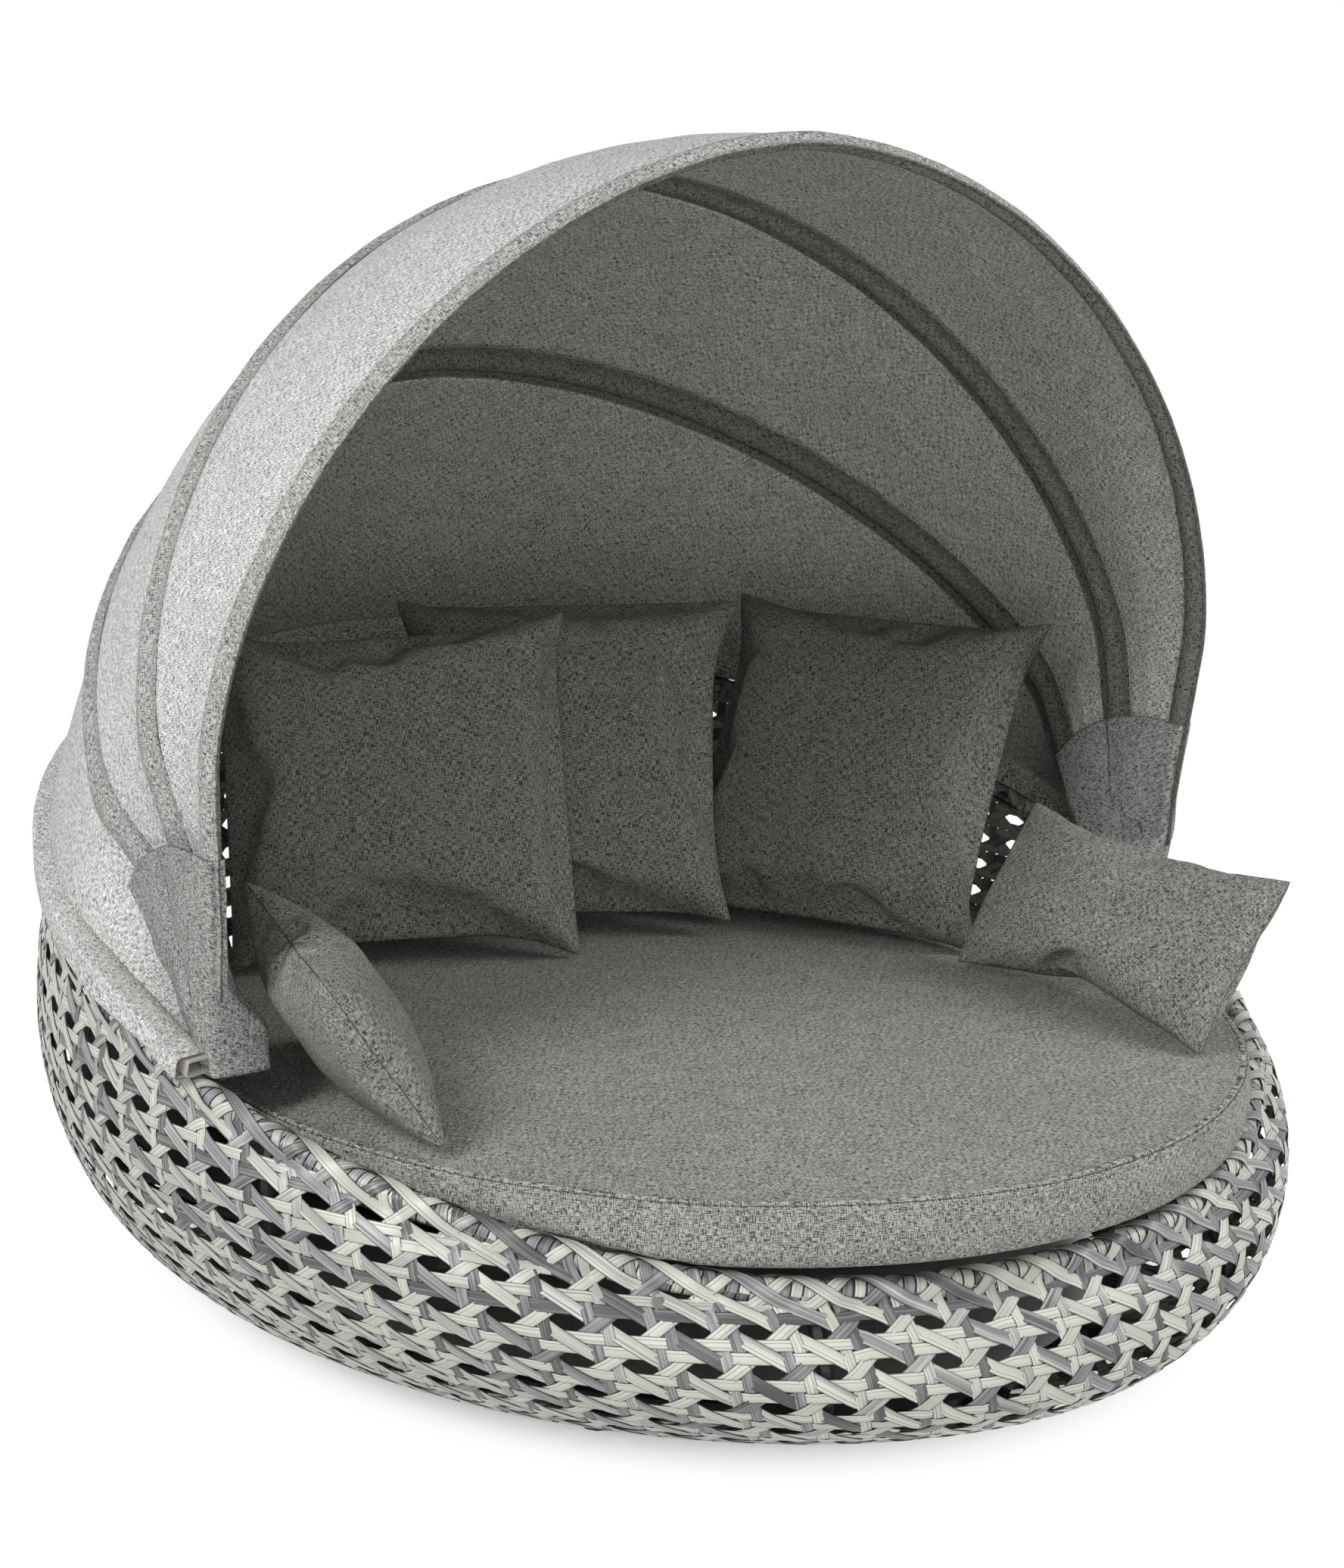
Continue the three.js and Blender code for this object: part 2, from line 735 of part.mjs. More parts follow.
// Eight points of a flattened band: wide along the fabric, thin across the bow's curve.
function ovalBand(halfThickness, halfBand) {
  const corner = halfBand - halfThickness / 2;
  return [
    [-corner, -halfThickness],
    [corner, -halfThickness],
    [halfBand, -halfThickness / 2],
    [halfBand, halfThickness / 2],
    [corner, halfThickness],
    [-corner, halfThickness],
    [-halfBand, halfThickness / 2],
    [-halfBand, -halfThickness / 2],
  ].map(([x, y]) => new THREE.Vector2(x, y));
}

// Fabric panels, in turns about the pivots' axis: x across, reach from the axis, lean forward
function bowEdge(index) {
  const lean = bowLean[index] * degree;
  return bowStations[index].slice(1, -1).map(({ at, along }) => {
    return { x: at.x, reach: at.z, lean, outX: -along.z, outReach: along.x };
  });
}

function railEdge() {
  const reachOf = (p) => Math.hypot(p.y - pivot.y, p.z - pivot.z);
  return railStations.slice(2, -2).map(({ at, along }) => {
    const run = reachOf(at.clone().add(along)) - reachOf(at);
    const level = Math.hypot(along.x, run);
    const lean = Math.atan2(pivot.y - at.y, at.z - pivot.z);
    return { x: at.x, reach: reachOf(at), lean, outX: -run / level, outReach: along.x / level };
  });
}

function polarPoint(x, reach, lean) {
  return new THREE.Vector3(
    x,
    pivot.y - reach * Math.sin(lean),
    pivot.z + reach * Math.cos(lean),
  );
}

// Small folds run across the panel near its two lower ends.
function foldAt(reach, across) {
  const fade = Math.max(1 - (reach - fabricStart) / foldReach, 0);
  return foldDepth * fade * Math.sin(across * foldCount * Math.PI) ** 2;
}

function addPanel(name, frontEdge, backEdge, frontHalf, backHalf) {
  const grid = (lift) =>
    frontEdge.map((a, i) => {
      const b = backEdge[i];
      const leanA = a.lean - Math.asin((frontHalf + gap) / a.reach);
      const leanB = b.lean + Math.asin((backHalf + gap) / b.reach);
      return steps(panelSteps).map((v) => {
        const sag = fabricSag * Math.sin(v * Math.PI) + foldAt(lerp(a.reach, b.reach, v), v);
        const by = lift - sag;
        const x = lerp(a.x + a.outX * by, b.x + b.outX * by, v);
        const reach = lerp(a.reach + a.outReach * by, b.reach + b.outReach * by, v);
        return polarPoint(x, reach, lerp(leanA, leanB, v));
      });
    });
  const low = fabricLift - fabric / 2;
  addMesh(name, plateGeometry(grid(low + fabric), grid(low)), colours.canopy);
}

function addPanels() {
  const [front, middle, rear] = bowLean.map((_, i) => bowEdge(i));
  const half = sleeve.halfBand;
  const railHalf = rail.height / 2 + gap + railSleeve.wall + fabricClear;
  addPanel("panel_front", front, middle, half, half);
  addPanel("panel_middle", middle, rear, half, half);
  addPanel("panel_rear", rear, railEdge(), bootSide + boot.wall, railHalf);
}

// Boots: two-layer fabric pockets round the bows' lower ends, in a front and a rear half
const bootMiddle = { lean: bowLean[1] * degree, start: boot.start };
const bootEnds = {
  front: { lean: bowLean[0] * degree, side: 1, start: boot.start },
  rear: { lean: bowLean[2] * degree, side: -1, start: boot.rearStart },
};

// One skin of a boot's half: rows at rising reach, each over the outer layer and back on the inner.
function bootSkin(end, sign, extra) {
  const off = sleeveReach + fabricClear + extra;
  const outerX = (reach) => legX(0, reach) + off;
  const innerX = (reach) => legX(bowLean.length - 1, reach) - off;
  const across = steps(bootSteps);
  const reachRows = [
    (v) => lerp(bootMiddle.start, end.start, v),
    () => fabricStart,
    () => boot.length,
  ];
  return reachRows.map((reachAt) => {
    const place = (v, layerX) => {
      const lean = lerp(bootMiddle.lean, end.lean, v);
      const shift = end.side * lerp(gap, bootSide + extra, v);
      const reach = reachAt(v);
      const at = polarPoint(sign * layerX(reach), reach, lean);
      return at.add(new THREE.Vector3(0, -Math.cos(lean), -Math.sin(lean)).multiplyScalar(shift));
    };
    const outer = across.map((v) => place(v, outerX));
    const inner = across.toReversed().map((v) => place(v, innerX));
    return [...outer, ...inner];
  });
}

function addBoots() {
  for (const [sideName, sign] of Object.entries(handed)) {
    for (const [endName, end] of Object.entries(bootEnds)) {
      const skin = plateGeometry(bootSkin(end, sign, boot.wall), bootSkin(end, sign, 0));
      addMesh(`boot_${sideName}_${endName}`, skin, colours.canopy);
    }
  }
}

// Pivot hardware: one bolt on each side through the rail's end and the three bows
function addPivots() {
  for (const [name, sign] of Object.entries(handed)) {
    const side = new THREE.Group();
    side.position.set(0, pivot.y, pivot.z);
    side.rotation.z = sign < 0 ? Math.PI : 0;
    daybed.add(side);
    const outside = pivot.x + rail.width / 2 + boltHead.standoff;
    const bowsEnd = bowPivotX.at(-1) - bowRadius;
    const innerEnd = bowsEnd - gap - pivotNut.thickness;
    const profile = [
      new THREE.Vector2(0, innerEnd),
      new THREE.Vector2(pivotBoltRadius, innerEnd),
      new THREE.Vector2(pivotBoltRadius, outside),
      new THREE.Vector2(boltHead.radius, outside),
      new THREE.Vector2(boltHead.radius, outside + boltHead.thickness),
      new THREE.Vector2(0, outside + boltHead.thickness),
    ];
    const bolt = new THREE.LatheGeometry(profile, roundSides);
    bolt.rotateZ(-Math.PI / 2);
    addMesh(`pivot_bolt_${name}`, bolt, colours.steel, side);
    const hole = sides(roundSides, pivotBoltRadius + gap);
    const nut = tubeShape(sides(nutSides, pivotNut.radius), hole);
    addDisc(`pivot_nut_${name}`, nut, innerEnd, pivotNut.thickness, side);
    const ring = tubeShape(sides(roundSides, washerRadius), hole);
    const bowGap = bowPitch - 2 * bowRadius;
    bowPivotX.slice(0, -1).forEach((x, i) => {
      const from = x - bowRadius - bowGap + gap;
      addDisc(`bow_spacer_${name}_${i + 1}`, ring, from, bowGap - 2 * gap, side);
    });
  }
}

function addDisc(name, shape, from, thickness, parent) {
  const disc = new THREE.ExtrudeGeometry(shape, { depth: thickness, bevelEnabled: false });
  disc.rotateY(Math.PI / 2);
  disc.translate(from, 0, 0);
  addMesh(name, disc, colours.steel, parent);
}

// Seat cushion: flat below, boxed edge with a slight swell, crowned top. The rim presses into it.
function addSeatCushion() {
  const bottom = cushionTop - cushion.thickness;
  const { edgeRound, thickness } = cushion;
  const crownShares = [0.4, 0.7, 0.88];
  const rows = turns(wallSegments).map((turn) => {
    const at = (grow, z) => {
      const { x, y } = ovalPoint(cushion, turn, grow);
      return new THREE.Vector3(x, y, z);
    };
    const inner = (share, z) => {
      const { x, y } = ovalPoint(cushion, turn, -edgeRound);
      return new THREE.Vector3(x * share, lerp(cushion.centreY, y, share), z);
    };
    return [
      at(-edgeRound, bottom),
      at(-cushionSideBulge, bottom + edgeRound / 2),
      at(cushionSideBulge, bottom + thickness / 2),
      at(-cushionSideBulge, cushionTop - edgeRound / 2),
      at(-edgeRound, cushionTop),
      ...crownShares
        .toReversed()
        .map((share) => inner(share, cushionTop + cushionCrown * (1 - share ** crownPower))),
    ];
  });
  const low = new THREE.Vector3(0, cushion.centreY, bottom);
  const high = new THREE.Vector3(0, cushion.centreY, cushionTop + cushionCrown);
  const pressed = rimSweep(sides(tubeSides, rimWrapRadius + gap));
  addMesh("seat_cushion", cut(turnedGeometry(rows, low, high), pressed), colours.seat);
}

// Pillows: square, full in the middle, drawn in between pointed corners
const pillow = { width: 575, height: 575, full: 150, seam: 8, drawIn: 34 };
const armPillow = { width: 530, height: 290, full: 140, seam: 8, drawIn: 20 };
const pillowPower = 2.4;
const pillowBulgePower = 0.6;
const pillowSteps = 9;

function pillowGeometry(size) {
  const shares = steps(pillowSteps).map((t) => -Math.cos(t * Math.PI));
  const side = (sign) =>
    shares.map((v) =>
      shares.map((u) => {
        const bulge = (1 - Math.abs(u) ** pillowPower) * (1 - Math.abs(v) ** pillowPower);
        const x = u * (size.width / 2 - size.drawIn * (1 - v * v) * Math.abs(u));
        const y = v * (size.height / 2 - size.drawIn * (1 - u * u) * Math.abs(v));
        const z = size.seam / 2 + (size.full / 2 - size.seam / 2) * bulge ** pillowBulgePower;
        return new THREE.Vector3(x, y, sign * z);
      }),
    );
  return plateGeometry(side(1), side(-1));
}

// Each pillow stands on a lower edge on the cushion: its place in shares of the cushion's half
// width and half length from the cushion's centre, its turn about Z, lean back and roll in degrees.
const pillowPlaces = {
  pillow_left: { size: pillow, xShare: -0.325, yShare: 0.6, turn: 26, lean: 28, roll: 2 },
  pillow_middle: { size: pillow, xShare: 0.08, yShare: 0.6, turn: 36, lean: 27, roll: 2 },
  pillow_right: { size: pillow, xShare: 0.62, yShare: 0.33, turn: 60, lean: 31, roll: -1 },
  arm_pillow_left: { size: armPillow, xShare: -0.87, yShare: -0.13, turn: -76, lean: 33, roll: 0 },
  arm_pillow_right: { size: armPillow, xShare: 0.68, yShare: -0.38, turn: 84, lean: 34, roll: -3 },
};

function cushionHeightAt(x, y) {
  const across = Math.abs(x / (cushion.halfWidth - cushion.edgeRound)) ** planPower;
  const along = (y - cushion.centreY) / (cushion.halfLength - cushion.edgeRound);
  const share = Math.min((across + Math.abs(along) ** planPower) ** (1 / planPower), 1);
  return cushionTop + cushionCrown * (1 - share ** crownPower);
}

function addPillows() {
  for (const [name, place] of Object.entries(pillowPlaces)) {
    const { size, turn, lean, roll } = place;
    const x = place.xShare * cushion.halfWidth;
    const y = cushion.centreY + place.yShare * cushion.halfLength;
    const geometry = pillowGeometry(size);
    geometry.rotateZ(roll * degree);
    geometry.rotateX(Math.PI / 2 - lean * degree);
    geometry.rotateZ(-turn * degree);
    geometry.translate(x, y, 0);
    const points = geometry.attributes.position;
    let lift = -Infinity;
    for (let i = 0; i < points.count; i++) {
      const top = cushionHeightAt(points.getX(i), points.getY(i));
      lift = Math.max(lift, top - points.getZ(i));
    }
    geometry.translate(0, 0, lift + gap);
    addMesh(name, geometry, colours.pillow);
  }
}

addBaseFrame();
addSeatFrame();
addRim();
addWovenShell();
addRibs();
addRail();
addRailPosts();
addBows();
addPanels();
addBoots();
addPivots();
addSeatCushion();
addPillows();

export default daybed;
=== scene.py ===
import math
import random

import bmesh
import bpy
import numpy as np
from mathutils import Matrix, Vector, noise


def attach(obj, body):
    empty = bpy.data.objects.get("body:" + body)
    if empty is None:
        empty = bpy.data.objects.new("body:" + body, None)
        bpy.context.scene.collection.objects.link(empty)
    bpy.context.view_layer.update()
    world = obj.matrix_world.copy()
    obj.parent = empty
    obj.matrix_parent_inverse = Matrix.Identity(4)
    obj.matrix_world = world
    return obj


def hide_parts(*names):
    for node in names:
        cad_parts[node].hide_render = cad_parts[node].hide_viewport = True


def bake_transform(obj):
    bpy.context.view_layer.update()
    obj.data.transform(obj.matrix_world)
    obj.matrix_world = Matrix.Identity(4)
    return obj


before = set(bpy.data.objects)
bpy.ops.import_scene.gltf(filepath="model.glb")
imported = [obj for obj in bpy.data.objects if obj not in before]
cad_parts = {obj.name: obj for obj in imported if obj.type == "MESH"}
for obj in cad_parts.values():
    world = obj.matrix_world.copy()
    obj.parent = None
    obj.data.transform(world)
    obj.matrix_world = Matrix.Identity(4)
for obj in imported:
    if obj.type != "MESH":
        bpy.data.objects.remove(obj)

scene = bpy.context.scene
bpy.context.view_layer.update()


# general helpers
def makeObject(name, bm):
    mesh = bpy.data.meshes.new(name)
    bm.to_mesh(mesh)
    bm.free()
    for face in mesh.polygons:
        face.use_smooth = True
    obj = bpy.data.objects.new(name, mesh)
    scene.collection.objects.link(obj)
    return obj


def smoothStep(value, low, high):
    t = np.clip((value - low) / (high - low), 0, 1)
    return t * t * (3 - 2 * t)


def unit(vectors):
    return vectors / np.maximum(np.linalg.norm(vectors, axis=-1, keepdims=True), 1e-9)


def runOf(line):  # the length run from a line's start to each of its points
    return np.concatenate([[0], np.cumsum(np.linalg.norm(np.diff(line, axis=0), axis=1))])


def pointsAt(line, lengths, places):
    return np.stack([np.interp(places, lengths, line[:, i]) for i in range(3)], -1)


def smoothLine(points, rounds):
    for _ in range(rounds):
        inner = 0.25 * points[:-2] + 0.5 * points[1:-1] + 0.25 * points[2:]
        points = np.concatenate([points[:1], inner, points[-1:]])
    return points


def gridCoords(mesh):
    co = np.zeros(len(mesh.vertices) * 3)
    mesh.vertices.foreach_get("co", co)
    return co.reshape(-1, 3)


def setCoords(mesh, co):
    mesh.vertices.foreach_set("co", np.asarray(co, float).reshape(-1))
    mesh.update()


def setPointValue(mesh, name, values):
    attribute = mesh.attributes.new(name, "FLOAT", "POINT")
    attribute.data.foreach_set("value", np.asarray(values, np.float32))


def setUv(mesh, perVertex):
    layer = mesh.uv_layers.new(name="cloth")
    index = np.zeros(len(mesh.loops), int)
    mesh.loops.foreach_get("vertex_index", index)
    layer.data.foreach_set("uv", np.asarray(perVertex, np.float32)[index].reshape(-1))


def addSolidify(obj, thickness, offset=0.0, shadedInside=0):
    modifier = obj.modifiers.new("thickness", "SOLIDIFY")
    modifier.thickness = thickness
    modifier.offset = offset
    # the inner face takes the material this many places on: for cloth, the darker copy that paints shade on
    # its inside
    modifier.material_offset = shadedInside


def applyModifiers(obj):
    graph = bpy.context.evaluated_depsgraph_get()
    mesh = bpy.data.meshes.new_from_object(obj.evaluated_get(graph))
    old = obj.data
    obj.modifiers.clear()
    obj.data = mesh
    bpy.data.meshes.remove(old)


# node helpers
def feed(tree, socket, value):  # a socket gets a link, or a value of its own
    if isinstance(value, bpy.types.NodeSocket):
        tree.links.new(value, socket)
    elif socket.type == "RGBA" and len(value) == 3:
        socket.default_value = (*value, 1)
    else:
        socket.default_value = value


def newNode(tree, kind, inputs=None, **settings):
    node = tree.nodes.new(kind)
    for key, value in settings.items():
        setattr(node, key, value)
    for socket, value in (inputs or {}).items():
        feed(tree, node.inputs[socket], value)
    return node


def mathNode(tree, operation, first, second=0.0, clamp=False):
    node = newNode(tree, "ShaderNodeMath", {0: first, 1: second}, operation=operation, use_clamp=clamp)
    return node.outputs[0]


def times(tree, first, second):
    return mathNode(tree, "MULTIPLY", first, second)


def oneLess(tree, value):  # 1 - value, from 0 to 1
    return mathNode(tree, "SUBTRACT", 1.0, value, clamp=True)


def awayFrom(tree, value, place):  # how far a value lies from a place, on either side
    return mathNode(tree, "ABSOLUTE", mathNode(tree, "SUBTRACT", value, place))


def mixColour(tree, share, first, second):
    node = newNode(tree, "ShaderNodeMix", data_type="RGBA")
    sockets = {socket.name: socket for socket in node.inputs if socket.enabled}
    for name, value in (("Factor", share), ("A", first), ("B", second)):
        feed(tree, sockets[name], value)
    return next(socket for socket in node.outputs if socket.enabled)


def readValue(tree, name):
    return newNode(tree, "ShaderNodeAttribute", attribute_name=name).outputs["Fac"]


def objectPlace(tree):
    return newNode(tree, "ShaderNodeTexCoord").outputs["Object"]


def noiseNode(tree, place, scale, detail):
    inputs = {"Vector": place, "Scale": scale, "Detail": detail}
    return newNode(tree, "ShaderNodeTexNoise", inputs).outputs["Fac"]


def addBump(tree, shader, height, strength, distance):
    bump = newNode(tree, "ShaderNodeBump", {"Height": height, "Strength": strength, "Distance": distance})
    feed(tree, shader.inputs["Normal"], bump.outputs["Normal"])


def startMaterial(name, roughness, specular=0.4):
    material = bpy.data.materials.new(name)
    material.use_nodes = True
    shader = material.node_tree.nodes["Principled BSDF"]
    shader.inputs["Roughness"].default_value = roughness
    shader.inputs["Specular IOR Level"].default_value = specular
    return material, material.node_tree, shader


def startGroup(name, inputs, outputs):
    group = bpy.data.node_groups.new(name, "ShaderNodeTree")
    for title, kind, value in inputs:
        socket = group.interface.new_socket(title, in_out="INPUT", socket_type=kind)
        if value is not None:
            socket.default_value = value
    for title, kind in outputs:
        group.interface.new_socket(title, in_out="OUTPUT", socket_type=kind)
    return group, group.nodes.new("NodeGroupInput").outputs, group.nodes.new("NodeGroupOutput").inputs


# camera and light
camera = {
    "place": (-2.3372, -3.7438, 1.685),
    "target": (-0.097, -0.21, 0.757),
    "lens": 68.66,
    "sensor": 36.0,
    "farthest": 60,
}
lamps = {
    "key": {"place": (-4.4, -0.9, 4.2), "size": 2.0, "power": 235},
    "fill": {"place": (2.5, -2.1, 2.5), "size": 1.8, "power": 78},
    "front": {"place": (-1.9, -4.4, 1.5), "size": 3.0, "power": 88},
}
studio = {
    "lampTarget": (0, 0, 0.6),
    "ambient": 0.40,
    "white": (1, 1, 1),
    "floor": (0.8, 0.8, 0.8),
    "floorSize": 25,
    "floorDark": (0.62, 0.78, 1),
    "floorFade": (0.9, 1.25),
}


def addAimed(name, data, place, target):
    obj = bpy.data.objects.new(name, data)
    scene.collection.objects.link(obj)
    obj.location = place
    look = Vector(target) - Vector(place)
    obj.rotation_euler = look.to_track_quat("-Z", "Y").to_euler()
    return obj


def addCamera():
    data = bpy.data.cameras.new("camera")
    data.lens = camera["lens"]
    data.sensor_width = camera["sensor"]
    data.sensor_fit = "AUTO"
    data.clip_end = camera["farthest"]
    scene.camera = addAimed("camera", data, camera["place"], camera["target"])


def addLamps():
    for name, lamp in lamps.items():
        data = bpy.data.lights.new(name, "AREA")
        data.shape = "SQUARE"
        data.size = lamp["size"]
        data.energy = lamp["power"]
        addAimed(name, data, lamp["place"], studio["lampTarget"])


def seenShare(tree):  # 1 for rays that show a place to the camera, 0 for rays that light it
    rays = newNode(tree, "ShaderNodeLightPath").outputs
    seen = mathNode(tree, "MAXIMUM", rays["Is Camera Ray"], rays["Is Glossy Ray"])
    return mathNode(tree, "MAXIMUM", seen, rays["Is Transmission Ray"])


def addWorld():
    world = bpy.data.worlds.new("studio")
    scene.world = world
    world.use_nodes = True
    tree = world.node_tree
    tree.nodes.clear()
    dim, plain = [
        newNode(tree, "ShaderNodeBackground", {"Color": studio["white"], "Strength": strength}).outputs[0]
        for strength in (studio["ambient"], 1)
    ]
    mix = newNode(tree, "ShaderNodeMixShader", {"Fac": seenShare(tree), 1: dim, 2: plain})
    newNode(tree, "ShaderNodeOutputWorld", {"Surface": mix.outputs[0]})


def addFloor():  # a plain floor that keeps the shadow, and goes over to clear white away from it
    bm = bmesh.new()
    bmesh.ops.create_grid(bm, x_segments=1, y_segments=1, size=studio["floorSize"])
    floor = makeObject("floor", bm)
    material = bpy.data.materials.new("floorWhite")
    material.use_nodes = True
    tree = material.node_tree
    tree.nodes.clear()
    scales = {"Vector": objectPlace(tree), "Scale": studio["floorDark"]}
    squeeze = newNode(tree, "ShaderNodeMapping", scales, vector_type="TEXTURE")
    distance = newNode(tree, "ShaderNodeVectorMath", {0: squeeze.outputs[0]}, operation="LENGTH")
    near, far = studio["floorFade"]
    ends = {"Value": distance.outputs["Value"], "From Min": near, "From Max": far}
    fade = newNode(tree, "ShaderNodeMapRange", ends, interpolation_type="SMOOTHSTEP")
    share = times(tree, seenShare(tree), fade.outputs["Result"])
    diffuse = newNode(tree, "ShaderNodeBsdfDiffuse", {"Color": studio["floor"]})
    glow = newNode(tree, "ShaderNodeEmission", {"Color": studio["white"]})
    mix = newNode(tree, "ShaderNodeMixShader", {"Fac": share, 1: diffuse.outputs[0], 2: glow.outputs[0]})
    newNode(tree, "ShaderNodeOutputMaterial", {"Surface": mix.outputs[0]})
    floor.data.materials.append(material)


# shared effects
linen = {
    "stretches": ((1000, 115, 1), (115, 1000, 1), (1500, 1500, 1), (26, 26, 1)),
    "crossings": 1.3,
    "threads": 0.7,
    "speck": 0.5,
    "cloud": 0.12,
    "centre": 1.27,
    "sharp": 4.6,
}
hem = {
    "crease": 0.0012,
    "stitch": 0.009,
    # how dark the painted crease shade is
    "depth": 0.8,
    "stitchDepth": 0.55,
    "fine": 900.0,
    "wide": 260.0,
    "dashes": 230.0,
    "gap": 0.35,
}


def makeLinenGroup():  # crossed slubby threads, in metres of the cloth's own UV
    tree, start, end = startGroup(
        "linenWeave",
        [
            ("Position", "NodeSocketVector", None),
            ("Dark", "NodeSocketColor", (0.1, 0.1, 0.1, 1)),
            ("Light", "NodeSocketColor", (0.4, 0.4, 0.4, 1)),
            ("Contrast", "NodeSocketFloat", 1.0),
        ],
        [("Colour", "NodeSocketColor"), ("Height", "NodeSocketFloat")],
    )
    grains = []
    for stretch in linen["stretches"]:
        sides = {0: start["Position"], 1: stretch}
        scaled = newNode(tree, "ShaderNodeVectorMath", sides, operation="MULTIPLY").outputs[0]
        grains.append(noiseNode(tree, scaled, 1.0, 2.0))
    across, along, speck, cloud = grains
    total = times(tree, mathNode(tree, "MINIMUM", across, along), linen["crossings"])
    for value, weight in (
        (mathNode(tree, "MAXIMUM", across, along), linen["threads"]),
        (speck, linen["speck"]),
        (cloud, linen["cloud"]),
    ):
        total = mathNode(tree, "ADD", total, times(tree, value, weight))
    sharp = times(tree, mathNode(tree, "SUBTRACT", total, linen["centre"]), linen["sharp"])
    share = mathNode(tree, "ADD", times(tree, sharp, start["Contrast"]), 0.5, clamp=True)
    feed(tree, end["Colour"], mixColour(tree, share, start["Dark"], start["Light"]))
    feed(tree, end["Height"], share)
    return tree


def makeHemGroup():  # a crease at the cloth's seam or edge, darkened as painted shade, and a row of stitches beside it
    tree, start, end = startGroup(
        "hemStitch",
        [
            ("Edge", "NodeSocketFloat", 1.0),
            ("Position", "NodeSocketVector", None),
            ("Crease", "NodeSocketFloat", hem["crease"]),
            ("Stitch", "NodeSocketFloat", hem["stitch"]),
            ("Depth", "NodeSocketFloat", hem["depth"]),
        ],
        [("Shade", "NodeSocketFloat"), ("Height", "NodeSocketFloat")],
    )
    # painted shade: the colour darkens in the crease at the seam or edge
    crease = oneLess(tree, mathNode(tree, "DIVIDE", start["Edge"], start["Crease"]))
    off = awayFrom(tree, start["Edge"], start["Stitch"])
    line = oneLess(tree, times(tree, off, hem["fine"]))
    split = newNode(tree, "ShaderNodeSeparateXYZ", {0: start["Position"]}).outputs
    run = mathNode(tree, "ADD", split["X"], split["Y"])
    dash = mathNode(tree, "FRACT", times(tree, run, hem["dashes"]))
    stitch = times(tree, line, mathNode(tree, "GREATER_THAN", dash, hem["gap"]))
    wide = oneLess(tree, times(tree, off, hem["wide"]))
    deep = times(tree, crease, start["Depth"])
    feed(tree, end["Shade"], mathNode(tree, "MAXIMUM", deep, times(tree, stitch, hem["stitchDepth"])))
    feed(tree, end["Height"], mathNode(tree, "MAXIMUM", crease, wide))
    return tree


def makeToneGroup():  # slow change of tone over a piece, from its place
    tree, start, end = startGroup(
        "slowTone",
        [("Position", "NodeSocketVector", None), ("Scale", "NodeSocketFloat", 4.0)],
        [("Tone", "NodeSocketFloat")],
    )
    feed(tree, end["Tone"], noiseNode(tree, start["Position"], start["Scale"], 3.0))
    return tree


linenGroup = makeLinenGroup()
hemGroup = makeHemGroup()
toneGroup = makeToneGroup()


def slowTone(tree, scale):
    inputs = {"Scale": scale, "Position": objectPlace(tree)}
    return newNode(tree, "ShaderNodeGroup", inputs, node_tree=toneGroup).outputs["Tone"]


# materials
cloths = {
    "seatCloth": ((0.033, 0.034, 0.030), (0.43, 0.436, 0.405), 0.95, 0.0075),
    "pillowCloth": ((0.016, 0.0165, 0.014), (0.245, 0.248, 0.226), 0.95, 0.3),
    "armCloth": ((0.024, 0.025, 0.022), (0.34, 0.345, 0.317), 0.95, 0.3),
    "canopyOutside": ((0.125, 0.127, 0.121), (0.80, 0.805, 0.79), 0.9, 0.011),
    # the canopy's inner face: a darker copy of the same cloth, painted shade inside the canopy
    "canopyInsideShaded": ((0.055, 0.056, 0.051), (0.65, 0.656, 0.61), 0.95, 0.011),
    "bandOutside": ((0.057, 0.058, 0.054), (0.52, 0.523, 0.508), 0.9, 0.006),
    # the band's inner face: a darker copy of the band cloth, painted shade under the hanging band
    "bandInsideShaded": ((0.019, 0.0195, 0.017), (0.225, 0.228, 0.208), 0.9, 0.006),
    "bootCloth": ((0.034, 0.035, 0.032), (0.45, 0.453, 0.438), 0.9, 0.011),
    # the boot's inner face: a darker copy of the boot cloth, painted shade inside the pocket
    "bootInsideShaded": ((0.019, 0.0195, 0.017), (0.225, 0.228, 0.208), 0.9, 0.011),
}
cloths = {name: dict(zip(("dark", "light", "contrast", "stitch"), look)) for name, look in cloths.items()}
cloths["railCloth"] = cloths["canopyOutside"]
# how dark the painted crease shade is on these cloths
creaseShadeByCloth = {"bandOutside": 0.35, "bootCloth": 0.5}
clothFinish = {
    "roughness": 0.92,
    "specular": 0.12,
    "bump": 0.0008,
    "bumpStrength": 0.5,
    "slowScale": 3.0,
    "slowShare": 0.22,
    "seamShade": 0.35,
    "seamSunk": 2.0,
}


